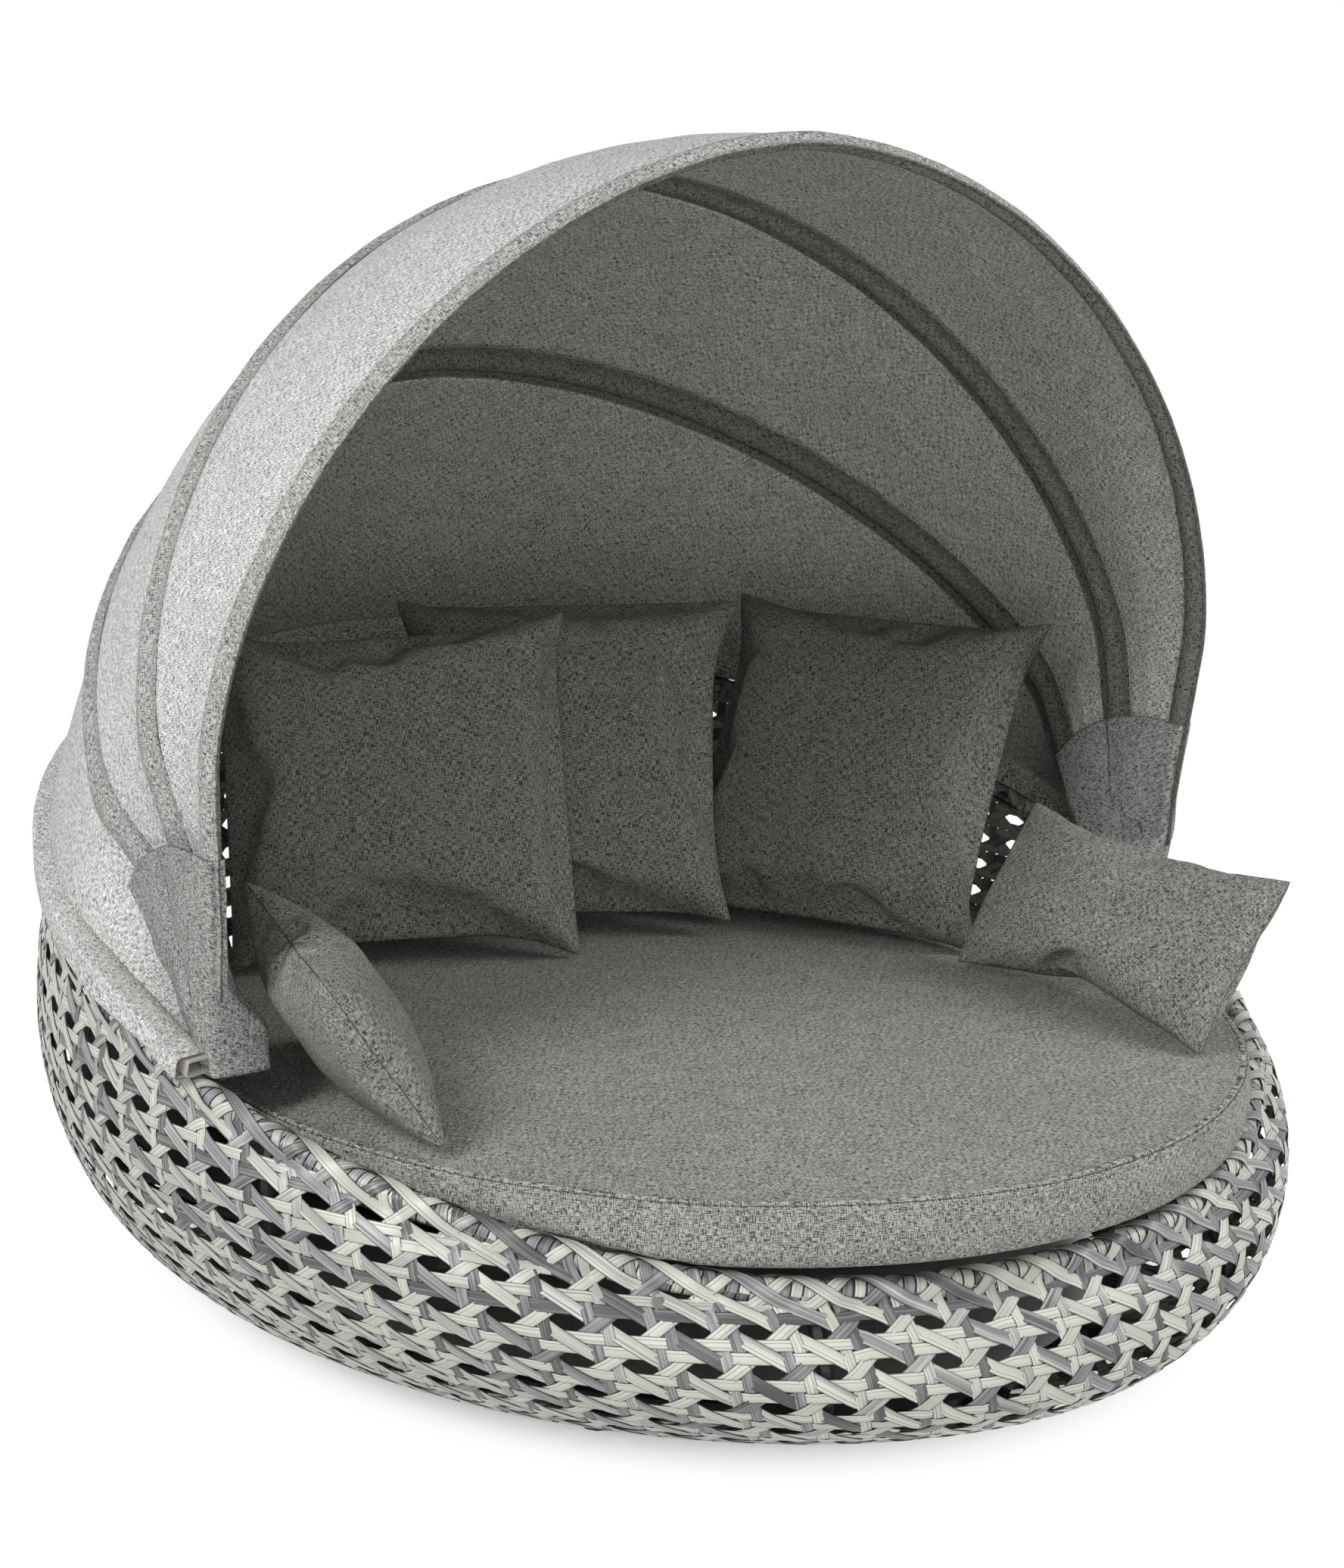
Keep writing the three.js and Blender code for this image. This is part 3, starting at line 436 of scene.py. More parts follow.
def clothMaterial(name, shadedInside=None):
    look = cloths[name]
    material, tree, shader = startMaterial(name, clothFinish["roughness"], clothFinish["specular"])
    uv = newNode(tree, "ShaderNodeUVMap", uv_map="cloth").outputs["UV"]

    def woven(cloth):
        inputs = {title: cloth[title.lower()] for title in ("Dark", "Light", "Contrast")}
        inputs["Position"] = uv
        return newNode(tree, "ShaderNodeGroup", inputs, node_tree=linenGroup).outputs

    threads = woven(look)
    colour = threads["Colour"]
    depth = creaseShadeByCloth.get(name, hem["depth"])
    inputs = {"Stitch": look["stitch"], "Depth": depth, "Edge": readValue(tree, "edge"), "Position": uv}
    seam = newNode(tree, "ShaderNodeGroup", inputs, node_tree=hemGroup).outputs
    # painted shade: the inner face takes the darker copy of the cloth
    if shadedInside:
        colour = mixColour(tree, readValue(tree, "outside"), woven(cloths[shadedInside])["Colour"], colour)
    shade = times(tree, slowTone(tree, clothFinish["slowScale"]), clothFinish["slowShare"])
    colour = mixColour(tree, shade, colour, look["dark"])
    # painted shade at creases and seams darkens the colour towards this, and the stitches' own dark dashes do
    # too
    dark = tuple(clothFinish["seamShade"] * c for c in look["dark"])
    colour = mixColour(tree, seam["Shade"], colour, dark)
    feed(tree, shader.inputs["Base Color"], colour)
    sunk = times(tree, seam["Height"], clothFinish["seamSunk"])
    height = mathNode(tree, "SUBTRACT", threads["Height"], sunk)
    addBump(tree, shader, height, clothFinish["bumpStrength"], clothFinish["bump"])
    return material


strandLook = {
    "cream": (0.47, 0.485, 0.42),
    "pale": (0.38, 0.385, 0.355),
    "lilac": (0.235, 0.228, 0.246),
    "grey": (0.155, 0.153, 0.155),
    "dark": (0.075, 0.070, 0.074),
    # the colour the lines darken to: painted shade in the grooves and along one side, and at the edges partly
    # the strands' own edge line and partly painted shade where strands meet
    "line": (0.016, 0.014, 0.014),
    "stops": ((0.0, "cream"), (0.38, "cream"), (0.5, "pale"), (0.68, "lilac"), (0.85, "grey"), (1.0, "dark")),
    "roughness": 0.38,
    "specular": 0.45,
    "streaks": (4.5, 3.0, 91.0),
    "streakShift": 1.15,
    "edgeFrom": 0.405,
    "edgeSharp": 13.0,
    "grooveAt": 0.2,
    "grooveSharp": 18.0,
    "pick": 37.0,
    "twoGrooves": 0.7,
    "shadeFrom": 0.62,
    "shadeRise": 0.9,
    "grooveShade": 0.6,
    "edgeLineAndShade": 0.95,
    "shadeDark": 0.75,
    "bump": 0.0008,
    "bumpStrength": 0.5,
}


def strandMaterial():
    look = strandLook
    material, tree, shader = startMaterial("wovenStrand", look["roughness"], look["specular"])
    across, along, tone = [readValue(tree, name) for name in ("across", "along", "tone")]
    ramp = newNode(tree, "ShaderNodeValToRGB")
    ramp.color_ramp.interpolation = "LINEAR"
    while len(ramp.color_ramp.elements) < len(look["stops"]):
        ramp.color_ramp.elements.new(0.5)
    for element, (place, name) in zip(ramp.color_ramp.elements, look["stops"]):
        element.position = place
        element.color = (*look[name], 1)
    places = zip("XYZ", look["streaks"], (across, along, tone))
    stretched = {axis: times(tree, value, stretch) for axis, stretch, value in places}
    joined = newNode(tree, "ShaderNodeCombineXYZ", stretched)
    streak = noiseNode(tree, joined.outputs[0], 1.0, 3.0)
    shift = times(tree, mathNode(tree, "SUBTRACT", streak, 0.5), look["streakShift"])
    feed(tree, ramp.inputs["Fac"], mathNode(tree, "ADD", tone, shift, clamp=True))
    # dark edges, partly the strands' own edge line and partly painted shade where strands meet, and one or
    # two fine grooves darkened as painted shade, with a painted soft shade along one side
    offset = awayFrom(tree, across, 0.5)
    edge = mathNode(tree, "SUBTRACT", offset, look["edgeFrom"])
    edge = mathNode(tree, "MULTIPLY", edge, look["edgeSharp"], clamp=True)
    groove = oneLess(tree, times(tree, awayFrom(tree, offset, look["grooveAt"]), look["grooveSharp"]))
    which = mathNode(tree, "FRACT", times(tree, tone, look["pick"]))
    both = mathNode(tree, "GREATER_THAN", which, look["twoGrooves"])
    side = mathNode(tree, "GREATER_THAN", across, 0.5)
    groove = times(tree, groove, mathNode(tree, "MAXIMUM", both, side))
    soft = mathNode(tree, "SUBTRACT", oneLess(tree, times(tree, across, which)), look["shadeFrom"])
    soft = mathNode(tree, "MULTIPLY", soft, look["shadeRise"], clamp=True)
    groove, edge = times(tree, groove, look["grooveShade"]), times(tree, edge, look["edgeLineAndShade"])
    lines = mathNode(tree, "ADD", groove, edge, clamp=True)
    lines = mathNode(tree, "MAXIMUM", lines, times(tree, soft, look["shadeDark"]))
    colour = mixColour(tree, lines, ramp.outputs["Color"], look["line"])
    feed(tree, shader.inputs["Base Color"], colour)
    addBump(tree, shader, mathNode(tree, "SUBTRACT", 1.0, lines), look["bumpStrength"], look["bump"])
    return material


paints = {
    "paintedFrame": {"colour": (0.40, 0.385, 0.36), "roughness": 0.45, "metallic": 0.0, "grain": 260},
    "darkFrame": {"colour": (0.022, 0.022, 0.022), "roughness": 0.6, "metallic": 0.0, "grain": 240},
    "footPlastic": {"colour": (0.03, 0.03, 0.03), "roughness": 0.6, "metallic": 0.0, "grain": 300},
    "boltSteel": {"colour": (0.55, 0.55, 0.54), "roughness": 0.32, "metallic": 1.0, "grain": 420},
}
paintFinish = {
    "slowScale": 9.0,
    "darker": 0.72,
    "roughSpan": 0.25,
    "roughBelow": 0.12,
    "bump": (0.25, 0.0003),
}


def paintMaterial(name):
    look = paints[name]
    material, tree, shader = startMaterial(name, look["roughness"])
    shader.inputs["Metallic"].default_value = look["metallic"]
    slow = slowTone(tree, paintFinish["slowScale"])
    darker = tuple(paintFinish["darker"] * c for c in look["colour"])
    feed(tree, shader.inputs["Base Color"], mixColour(tree, slow, look["colour"], darker))
    rough = times(tree, slow, paintFinish["roughSpan"])
    rough = mathNode(tree, "ADD", rough, look["roughness"] - paintFinish["roughBelow"])
    feed(tree, shader.inputs["Roughness"], rough)
    fine = noiseNode(tree, objectPlace(tree), look["grain"], 2.0)
    addBump(tree, shader, fine, *paintFinish["bump"])
    return material


# the basket's own surface
basket = {
    "planPower": 1.95,
    "widest": (0.916, 1.040, 0.0),
    "base": (0.650, 0.806, -0.024),
    "rim": (0.872, 0.986, 0.020),
    "widestHeight": (0.122, 0.352, 0.600),
    "profilePower": 1.82,
    "shell": 0.010,
    "baseZ": 0.0213,
    "baseTube": (0.0153, 0.0313),
    "rimFront": 0.280,
    "rimRise": 0.26,
    "rimRiseStart": -0.900,
    "rimSoftness": 0.030,
    "rimRadius": 0.0223,
}
upwards = np.array([0.0, 0.0, 1.0])


def ovalAt(oval, turn, grow=0.0):
    halfWidth, halfLength, centreY = oval
    power = 2 / basket["planPower"]
    c, s = np.cos(turn), np.sin(turn)
    x = (halfWidth + grow) * np.sign(c) * np.abs(c) ** power
    y = centreY + (halfLength + grow) * np.sign(s) * np.abs(s) ** power
    return x, y


def rimTop(y):
    along = (y - basket["rimRiseStart"]) / basket["rimSoftness"]
    rise = np.logaddexp(0, along) * basket["rimSoftness"] * basket["rimRise"]
    return basket["rimFront"] + rise


def rimCentreAt(turn):
    x, y = ovalAt(basket["rim"], turn)
    return np.stack([x, y, rimTop(y) - basket["rimRadius"]], -1)


def wallAt(turn, share):
    s = np.sin(turn)
    front, back = np.maximum(-s, 0) ** 2, np.maximum(s, 0) ** 2
    low, side, high = basket["widestHeight"]
    widestZ = front * low + (1 - front - back) * side + back * high
    lowX, lowY = ovalAt(basket["base"], turn)
    wideX, wideY = ovalAt(basket["widest"], turn, -basket["shell"] / 2)
    top = rimCentreAt(turn)
    z = basket["baseZ"] + (top[..., 2] - basket["baseZ"]) * share
    down = np.clip((widestZ - z) / (widestZ - basket["baseZ"]), 0, 1)
    reach = (1 - down ** basket["profilePower"]) ** (1 / basket["profilePower"])
    climb = np.clip((z - widestZ) / (top[..., 2] - widestZ), 0, 1) ** 2
    x = lowX + (wideX - lowX) * reach + (top[..., 0] - wideX) * climb
    y = lowY + (wideY - lowY) * reach + (top[..., 1] - wideY) * climb
    return np.stack([x, y, z], -1)


# the weave: a surface table over the wall, and every strand laid on it
weave = {
    "columns": 76,
    "rowPitch": 0.0505,
    "columnWidth": 0.072,
    "slant": 0.14,
    "width": 0.0152,
    "diagonalWidth": 0.0168,
    "thickness": 0.0008,
    "crown": 0.0003,
    "pairHalfRow": 0.162,
    "pairHalfColumn": 0.126,
    "diagonalLift": 0.00135,
    "crossLift": 0.0011,
    "jitter": 0.0011,
    "wobble": 0.025,
    "rimWrapRadius": 0.0182,
    "rimWrapStart": -42,
    "rimTurn": 3.9,
    "baseWrapRadius": 0.0168,
    "baseWrapAngles": (-170, -48),
    "tableTurns": 304,
    "tableStep": 0.004,
    "outwards": (1.04, 0.92, 0.0),
    "wallPoints": 160,
    "baseWrapPoints": 14,
    "rimWrapPoints": 40,
    "wallEnd": 2.2,
    "rimTouch": 1.12,
    "baseTouch": 0.02,
    "smoothing": 5,
    "rimBlend": (-0.35, 0.15),
    "lowLift": 0.3,
    "lowBlend": (-0.2, 0.5),
    "layerStep": 0.0004,
    "spread": (0.94, 1.05),
    "ringSpread": (0.95, 1.05),
    "wobbleScales": (0.31, 3.7),
    "streakShift": 7,
    "sharpAngle": 40,
    "startStep": 4,
    "layerSharp": 1.5,
    "layerTurn": 0.309,
    "front": 0.75,
    "seed": 11,
}
rowSteps = np.array([0, 0.17, 0.338, 0.5, 0.662, 0.83])
columnSteps = np.array([0, 0.13, 0.25, 0.374, 0.5, 0.626, 0.75, 0.87])
diagonalSteps = np.array([0, 0.12, 0.2, 0.27, 0.338, 0.42, 0.5, 0.58, 0.662, 0.73, 0.8, 0.88])
rowLimits = {"endGap": 0.1, "search": 0.1, "placeGap": 0.04, "rimGap": 0.05}
tones = {
    "cream": (0.0, 0.4),
    "pale": (0.42, 0.58),
    "lilac": (0.62, 0.74),
    "grey": (0.78, 0.88),
    "dark": (0.9, 0.99),
}
ringWeights = (70, 18, 7, 4, 1)
families = {
    "uprightStrands": {"slope": 0.0, "weights": (30, 20, 14, 20, 16), "layer": -0.0002},
    "fallingStrands": {"slope": 1.0, "weights": (28, 22, 34, 14, 2), "layer": 0.0025},
    "climbingStrands": {"slope": -1.0, "weights": (46, 22, 10, 14, 8), "layer": 0.0011},
}


def evenly(points, step):
    lengths = runOf(points)
    return pointsAt(points, lengths, np.arange(0, lengths[-1], step))


def arcOver(centre, radius, angles, out):
    return centre + radius * (np.cos(angles)[:, None] * out + np.sin(angles)[:, None] * upwards)


def profileAt(turn):  # one line of the weave: under the base tube, up the wall, over the rim tube
    out = unit(np.array([math.cos(turn), math.sin(turn), 0.0]) * weave["outwards"])
    wall = wallAt(np.full(weave["wallPoints"], turn), np.linspace(0, 1, weave["wallPoints"]))
    inset, tubeZ = basket["baseTube"]
    baseX, baseY = ovalAt(basket["base"], np.array([turn]), -inset)
    baseCentre = np.array([baseX[0], baseY[0], tubeZ])
    angles = np.radians(np.linspace(*weave["baseWrapAngles"], weave["baseWrapPoints"]))
    under = arcOver(baseCentre, weave["baseWrapRadius"], angles, out)
    rimCentre = rimCentreAt(np.array([turn]))[0]
    radius = weave["rimWrapRadius"]
    wall = wall[np.linalg.norm(wall - rimCentre, axis=1) > radius * weave["wallEnd"]]
    start = math.radians(weave["rimWrapStart"])
    angles = np.linspace(start, start + weave["rimTurn"], weave["rimWrapPoints"])
    over = arcOver(rimCentre, radius, angles, out)
    line = evenly(np.concatenate([under, wall[2:], over]), weave["tableStep"])
    line = evenly(smoothLine(line, weave["smoothing"]), weave["tableStep"])
    baseTouch = wallAt(np.array([turn]), np.array([weave["baseTouch"]]))[0]
    fromBase = np.linalg.norm(line - baseTouch, axis=1)
    nearRim = np.linalg.norm(line - rimCentre, axis=1) < radius * weave["rimTouch"]
    return line, int(np.argmin(fromBase)), int(np.argmax(nearRim))


def buildTable():
    lines = [profileAt(t) for t in np.linspace(0, 2 * math.pi, weave["tableTurns"], endpoint=False)]
    before = max(first for _, first, _ in lines)
    length = max(len(line) - first for line, first, _ in lines) + before
    points = np.zeros((len(lines), length, 3))
    ends, rims = [], []
    for i, (line, first, last) in enumerate(lines):
        shift = before - first
        points[i, :shift] = line[0]
        points[i, shift : shift + len(line)] = line
        points[i, shift + len(line) :] = line[-1]
        ends.append((len(line) - first) * weave["tableStep"] / weave["rowPitch"])
        rims.append((last - first) * weave["tableStep"] / weave["rowPitch"])
    around = np.roll(points, -1, 0) - np.roll(points, 1, 0)
    normals = unit(np.cross(around, np.gradient(points, axis=1)))
    rows = {"ends": np.array(ends), "rims": np.array(rims)}
    return {"points": points, "normals": normals, "zero": before, **rows}


table = buildTable()
print("basket surface table", table["points"].shape)


def turnPlace(u):  # the table's turns on both sides of column u, and how far u lies between them
    at = (u / weave["columns"]) % 1.0 * weave["tableTurns"]
    low = np.floor(at).astype(int) % weave["tableTurns"]
    return low, (low + 1) % weave["tableTurns"], at - np.floor(at)


def rowAt(name, u):  # the row in which the wall ends, or meets the rim, at column u
    low, high, part = turnPlace(u)
    return table[name][low] * (1 - part) + table[name][high] * part


def onWall(u, v):  # column and row to a point of the basket's surface and its normal there
    low, high, part = turnPlace(u)
    part = part[:, None]
    up = v * weave["rowPitch"] / weave["tableStep"] + table["zero"]
    up = np.clip(up, 0, table["points"].shape[1] - 1.001)
    step = np.floor(up).astype(int)
    rest = (up - step)[:, None]
    found = []
    for values in (table["points"], table["normals"]):
        lower = values[low, step] * (1 - part) + values[high, step] * part
        upper = values[low, step + 1] * (1 - part) + values[high, step + 1] * part
        found.append(lower * (1 - rest) + upper * rest)
    return found[0], unit(found[1])


def makeStrands(name, strands, material):  # each strand: points, normals, width, tone
    bm = bmesh.new()
    for points, *_ in strands:
        bmesh.ops.create_grid(bm, x_segments=len(points) - 1, y_segments=2, size=1)
    obj = makeObject(name, bm)
    co = gridCoords(obj.data)
    values = {"along": np.zeros(len(co)), "across": np.zeros(len(co)), "tone": np.zeros(len(co))}
    first = 0
    for points, normals, width, tone in strands:
        count = len(points) * 3
        block = slice(first, first + count)
        station = np.rint((co[block, 0] + 1) / 2 * (len(points) - 1)).astype(int)
        side = co[block, 1].copy()
        sideways = unit(np.cross(normals, unit(np.gradient(points, axis=0))))
        crown = (1 - side**2)[:, None] * weave["crown"]
        placed = points[station] + sideways[station] * side[:, None] * width / 2
        co[block] = placed + normals[station] * crown
        values["along"][block] = runOf(points)[station] + tone * weave["streakShift"]
        values["across"][block] = side / 2 + 0.5
        values["tone"][block] = tone
        first += count
    setCoords(obj.data, co)
    for title, numbers in values.items():
        setPointValue(obj.data, title, numbers)
    addSolidify(obj, weave["thickness"])
    applyModifiers(obj)
    obj.data.set_sharp_from_angle(angle=math.radians(weave["sharpAngle"]))
    obj.data.materials.append(material)
    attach(obj, "base")
    print(name, len(strands), "strands", len(obj.data.polygons), "faces")
    return obj


def pairBump(place, half):  # over and under the two strands of a crossing pair
    offset = place - np.floor(place) - 0.5
    return np.where(np.abs(offset) <= 2 * half, np.sin(math.pi * offset / (2 * half)), 0)


def overUnder(q):  # +1 over the ring pair, -1 beneath the upright pair, changing where the two meet
    return np.clip(weave["layerSharp"] * (weave["layerTurn"] - np.cos(2 * math.pi * q)), -1, 1)


def strandOn(u, v, lift, width, tone, layer=0.0):  # on the rim each family has a layer of its own
    points, normals = onWall(u, v)
    rims = rowAt("rims", u)
    before, after = weave["rimBlend"]
    onRim = smoothStep(v, rims + before, rims + after)
    low = weave["lowLift"] + (1 - weave["lowLift"]) * smoothStep(v, *weave["lowBlend"])
    lift = lift * low * (1 - onRim) + layer * onRim
    return points + normals * lift[:, None], normals, width, tone


def pickTone(chance, weights):
    name = chance.choices(list(tones), weights)[0]
    return chance.uniform(*tones[name])


def placesBetween(low, high, steps):
    whole = np.arange(math.floor(low), math.ceil(high) + 1)
    places = (whole[:, None] + steps[None, :]).reshape(-1)
    places = places[(places > low + rowLimits["placeGap"]) & (places < high - rowLimits["placeGap"])]
    return np.concatenate([[low], places, [high]])


def risingStrands(chance, family):
    slope, half = family["slope"], weave["pairHalfColumn"]
    lean = slope + weave["slant"]
    low = -(table["zero"] - weave["startStep"]) * weave["tableStep"] / weave["rowPitch"]
    strands = []
    for i in range(weave["columns"]):
        for phase in (0.0,) if slope else (-half, half):
            start = i + 0.5 + phase
            high = low  # climbs to where this line crosses the inner end of the rim wrap
            while high < float(rowAt("ends", start - lean * high)) - rowLimits["endGap"]:
                high += rowLimits["search"]
            q = placesBetween(low, high, diagonalSteps if slope else rowSteps)
            u = start + chance.uniform(-1, 1) * weave["jitter"] / weave["columnWidth"] - lean * q
            if slope:
                lift = slope * weave["diagonalLift"] * overUnder(q)
            else:
                lift = np.sign(phase) * weave["crossLift"] * pairBump(q, weave["pairHalfRow"])
            width = weave["diagonalWidth" if slope else "width"] * chance.uniform(*weave["spread"])
            layer = family["layer"] + weave["layerStep"] * (i % 2)
            strands.append(strandOn(u, q, lift, width, pickTone(chance, family["weights"]), layer))
    return strands


def ringEnds(v, tops):  # the columns between which a ring lies on the wall: all round, or round the back
    columns = weave["columns"]
    if (v < tops - rowLimits["rimGap"]).all():
        return 0.0, float(columns)
    front, reach = weave["front"] * columns, 0.0
    while reach < columns / 2 and v >= float(rowAt("rims", front + reach)) - rowLimits["rimGap"]:
        reach += rowLimits["search"]
    return (front + reach - columns, front - reach) if columns / 2 - reach >= 1.0 else None


def ringStrands(chance):
    strands = []
    tops = rowAt("rims", np.arange(weave["columns"]).astype(float))
    for row in range(int(tops.max()) + 1):
        for side in (-1, 1):
            v = row + 0.5 + side * weave["pairHalfRow"]
            tone = pickTone(chance, ringWeights)
            width = weave["width"] * chance.uniform(*weave["ringSpread"])
            ends = ringEnds(v, tops) if (v < tops - rowLimits["rimGap"]).any() else None
            if ends is None:
                continue
            u = np.unique(placesBetween(*ends, columnSteps - weave["slant"] * v % 1.0 + 1.0))
            lift = -side * weave["crossLift"] * pairBump(u + weave["slant"] * v, weave["pairHalfColumn"])
            along, up = weave["wobbleScales"]
            wobble = np.array([noise.noise((k * along, row * up, side)) for k in u])
            strands.append(strandOn(u, v + wobble * weave["wobble"], lift, width, tone))
    return strands


def addBasketWeave(material):
    chance = random.Random(weave["seed"])
    rings = makeStrands("ringStrands", ringStrands(chance), material)
    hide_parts("woven_shell")
    for name, family in families.items():
        makeStrands(name, risingStrands(chance, family), material)


rimWrap = {
    "radius": 0.0160,
    "width": 0.0146,
    "pitch": 0.0158,
    "steps": 16,
    "lean": 0.9,
    "weights": (40, 25, 18, 12, 5),
    "seed": 23,
}


def addRimWrap(material):  # the plain winding next to the rim tube
    chance = random.Random(rimWrap["seed"])
    turns = np.linspace(0, 2 * math.pi, 1441)
    runs = runOf(rimCentreAt(turns))
    count = int(runs[-1] / rimWrap["pitch"])
    angle = np.linspace(0, 2 * math.pi, rimWrap["steps"] + 1)
    strands = []
    for i in range(count):
        run = (i + rimWrap["lean"] * angle / (2 * math.pi)) / count * runs[-1]
        turn = np.interp(run, runs, turns)
        ahead = unit(rimCentreAt(turn + 0.004) - rimCentreAt(turn - 0.004))
        out = unit(np.cross(ahead, upwards))
        normal = np.cos(angle)[:, None] * out + np.sin(angle)[:, None] * np.cross(out, ahead)
        points = rimCentreAt(turn) + normal * rimWrap["radius"]
        strands.append((points, normal, rimWrap["width"], pickTone(chance, rimWrap["weights"])))
    wrap = makeStrands("rimWinding", strands, material)
    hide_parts("rim_wrap")


# seat cushion
seat = {
    "oval": (0.755, 0.852, -0.152),
    "top": 0.388,
    "crown": 0.024,
    "edge": 0.012,
    "grid": 88,
    "rimClear": 0.0245,
    "topUneven": 0.0022,
    "sideUneven": 0.0025,
    "unevenScales": (3.1, 9.0),
    "unevenShare": 0.4,
    "topFrom": (-0.02, 0.01),
    "sideFrom": (0.97, 1.0),
    "clearBelow": 0.004,
    "fill": 0.75,
    "sideUv": (0.8, 3.0),
    # the rings of the boxed edge from the top seam to the underside: out from the oval, up from the top
    "boxing": (
        (-0.009, 0.0012), (-0.0045, 0.0018), (-0.0015, 0.0004), (-0.0012, -0.0022), (0.0012, -0.0036),
        (0.0025, -0.010), (0.0045, -0.024), (0.0056, -0.040), (0.005, -0.056), (0.003, -0.068),
        (-0.0005, -0.077), (-0.007, -0.084), (-0.016, -0.0885), (-0.030, -0.090), (-0.10, -0.090),
    ),
    "seam": 3,
    "seamClear": 0.006,
    "seamSpread": 0.75,
    "seamRings": (0.004, 0.0025),
}


def seatHeightAt(x, y):
    halfWidth, halfLength, centreY = seat["oval"]
    across = np.abs(x / (halfWidth - seat["edge"])) ** basket["planPower"]
    along = np.abs((y - centreY) / (halfLength - seat["edge"])) ** basket["planPower"]
    share = np.minimum((across + along) ** (1 / basket["planPower"]), 1)
    return seat["top"] + seat["crown"] * (1 - share**3)


def seatEdgeAt(turn, grow):
    x, y = ovalAt(seat["oval"], np.array([turn]), grow)
    return float(x[0]), float(y[0])


def seatTurnOf(point):  # the oval's own angle at a place on it
    halfWidth, halfLength, centreY = seat["oval"]
    power = basket["planPower"] / 2
    a, b = point.x / halfWidth, (point.y - centreY) / halfLength
    return math.atan2(math.copysign(abs(b) ** power, b), math.copysign(abs(a) ** power, a))


def clearOfRim(co, clear):  # soft points that would lie in the rim are pushed out of it
    centres = rimCentreAt(np.linspace(0, 2 * math.pi, 720, endpoint=False))
    for i, point in enumerate(co):
        centre = centres[np.argmin(((centres - point) ** 2).sum(1))]
        away = point - centre
        distance = np.linalg.norm(away)
        if distance < clear:
            co[i] = centre + away / max(distance, 1e-6) * clear
    return co


def addSeatTop(bm, uv):
    bmesh.ops.create_grid(bm, x_segments=seat["grid"], y_segments=seat["grid"], size=1)
    centreY = seat["oval"][2]
    for vert in bm.verts:
        share = max(abs(vert.co.x), abs(vert.co.y))
        x, y = seatEdgeAt(math.atan2(vert.co.y, vert.co.x), -seat["edge"])
        vert.co = (x * share, centreY + (y - centreY) * share, seat["top"] + seat["crown"] * (1 - share**3))
    for face in bm.faces:
        for loop in face.loops:
            loop[uv].uv = (loop.vert.co.x, loop.vert.co.y)
    return len(bm.verts)


def addSeatSide(bm, uv):  # returns how many points each ring has
    edge = [e for e in bm.edges if e.is_boundary]
    counts = []
    stretch, start = seat["sideUv"]
    for grow, rise in seat["boxing"]:
        made = bmesh.ops.extrude_edge_only(bm, edges=edge)["geom"]
        verts = [g for g in made if isinstance(g, bmesh.types.BMVert)]
        edge = [g for g in made if isinstance(g, bmesh.types.BMEdge) and g.is_boundary]
        for vert in verts:
            vert.co = (*seatEdgeAt(seatTurnOf(vert.co), grow), seat["top"] + rise)
        counts.append(len(verts))
        for face in (g for g in made if isinstance(g, bmesh.types.BMFace)):
            for loop in face.loops:
                loop[uv].uv = (seatTurnOf(loop.vert.co) * stretch + start, loop.vert.co.z)
    bmesh.ops.contextual_create(bm, geom=edge)
    bmesh.ops.recalc_face_normals(bm, faces=bm.faces)
    return counts


def seamDistance(co, topCount, counts):  # how far each point lies from the stitched seam round the top
    halfWidth, halfLength, centreY = seat["oval"]
    edge = np.zeros(len(co))
    x, y = co[:topCount, 0], co[:topCount, 1] - centreY
    inside = np.hypot(x / (halfWidth - seat["edge"]), y / (halfLength - seat["edge"]))
    edge[:topCount] = seat["seamClear"] + (1 - np.minimum(inside, 1)) * seat["seamSpread"]
    first = topCount
    seam = seat["boxing"][seat["seam"]][1]
    for number, count in enumerate(counts):
        above = number < len(seat["seamRings"])
        near = seat["seamRings"][number] if above else abs(seat["boxing"][number][1] - seam)
        edge[first : first + count] = near
        first += count
    return edge


def addSeatCushion():
    bm = bmesh.new()
    uv = bm.loops.layers.uv.new("cloth")
    topCount = addSeatTop(bm, uv)
    counts = addSeatSide(bm, uv)
    cushion = makeObject("seatCushion", bm)
    co = gridCoords(cushion.data)
    # painted shade: a dark crease along the top seam, beside the stitches
    setPointValue(cushion.data, "edge", seamDistance(co, topCount, counts))
    halfWidth, halfLength, centreY = seat["oval"]
    largeScale, smallScale = seat["unevenScales"]
    large = np.array([noise.noise(Vector(p) * largeScale) for p in co])
    uneven = large + seat["unevenShare"] * np.array([noise.noise(Vector(p) * smallScale) for p in co])
    onTop = smoothStep(co[:, 2] - seat["top"], *seat["topFrom"])
    co = co + (uneven * seat["topUneven"] * onTop)[:, None] * upwards
    x, y = co[:, 0], co[:, 1] - centreY
    side = smoothStep(np.hypot(x / halfWidth, y / halfLength), *seat["sideFrom"]) * (1 - onTop)
    out = unit(np.stack([x / halfWidth**2, y / halfLength**2, 0 * x], -1))
    co = co + out * (uneven * seat["sideUneven"] * side)[:, None]
    low = co[:, 2] < seat["top"] - seat["clearBelow"]
    co[low] = clearOfRim(co[low], seat["rimClear"])
    setCoords(cushion.data, co)
    cushion.data.materials.append(clothMaterial("seatCloth"))
    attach(cushion, "base")
    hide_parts("seat_cushion")
    print("seat cushion", len(cushion.data.polygons), "faces")


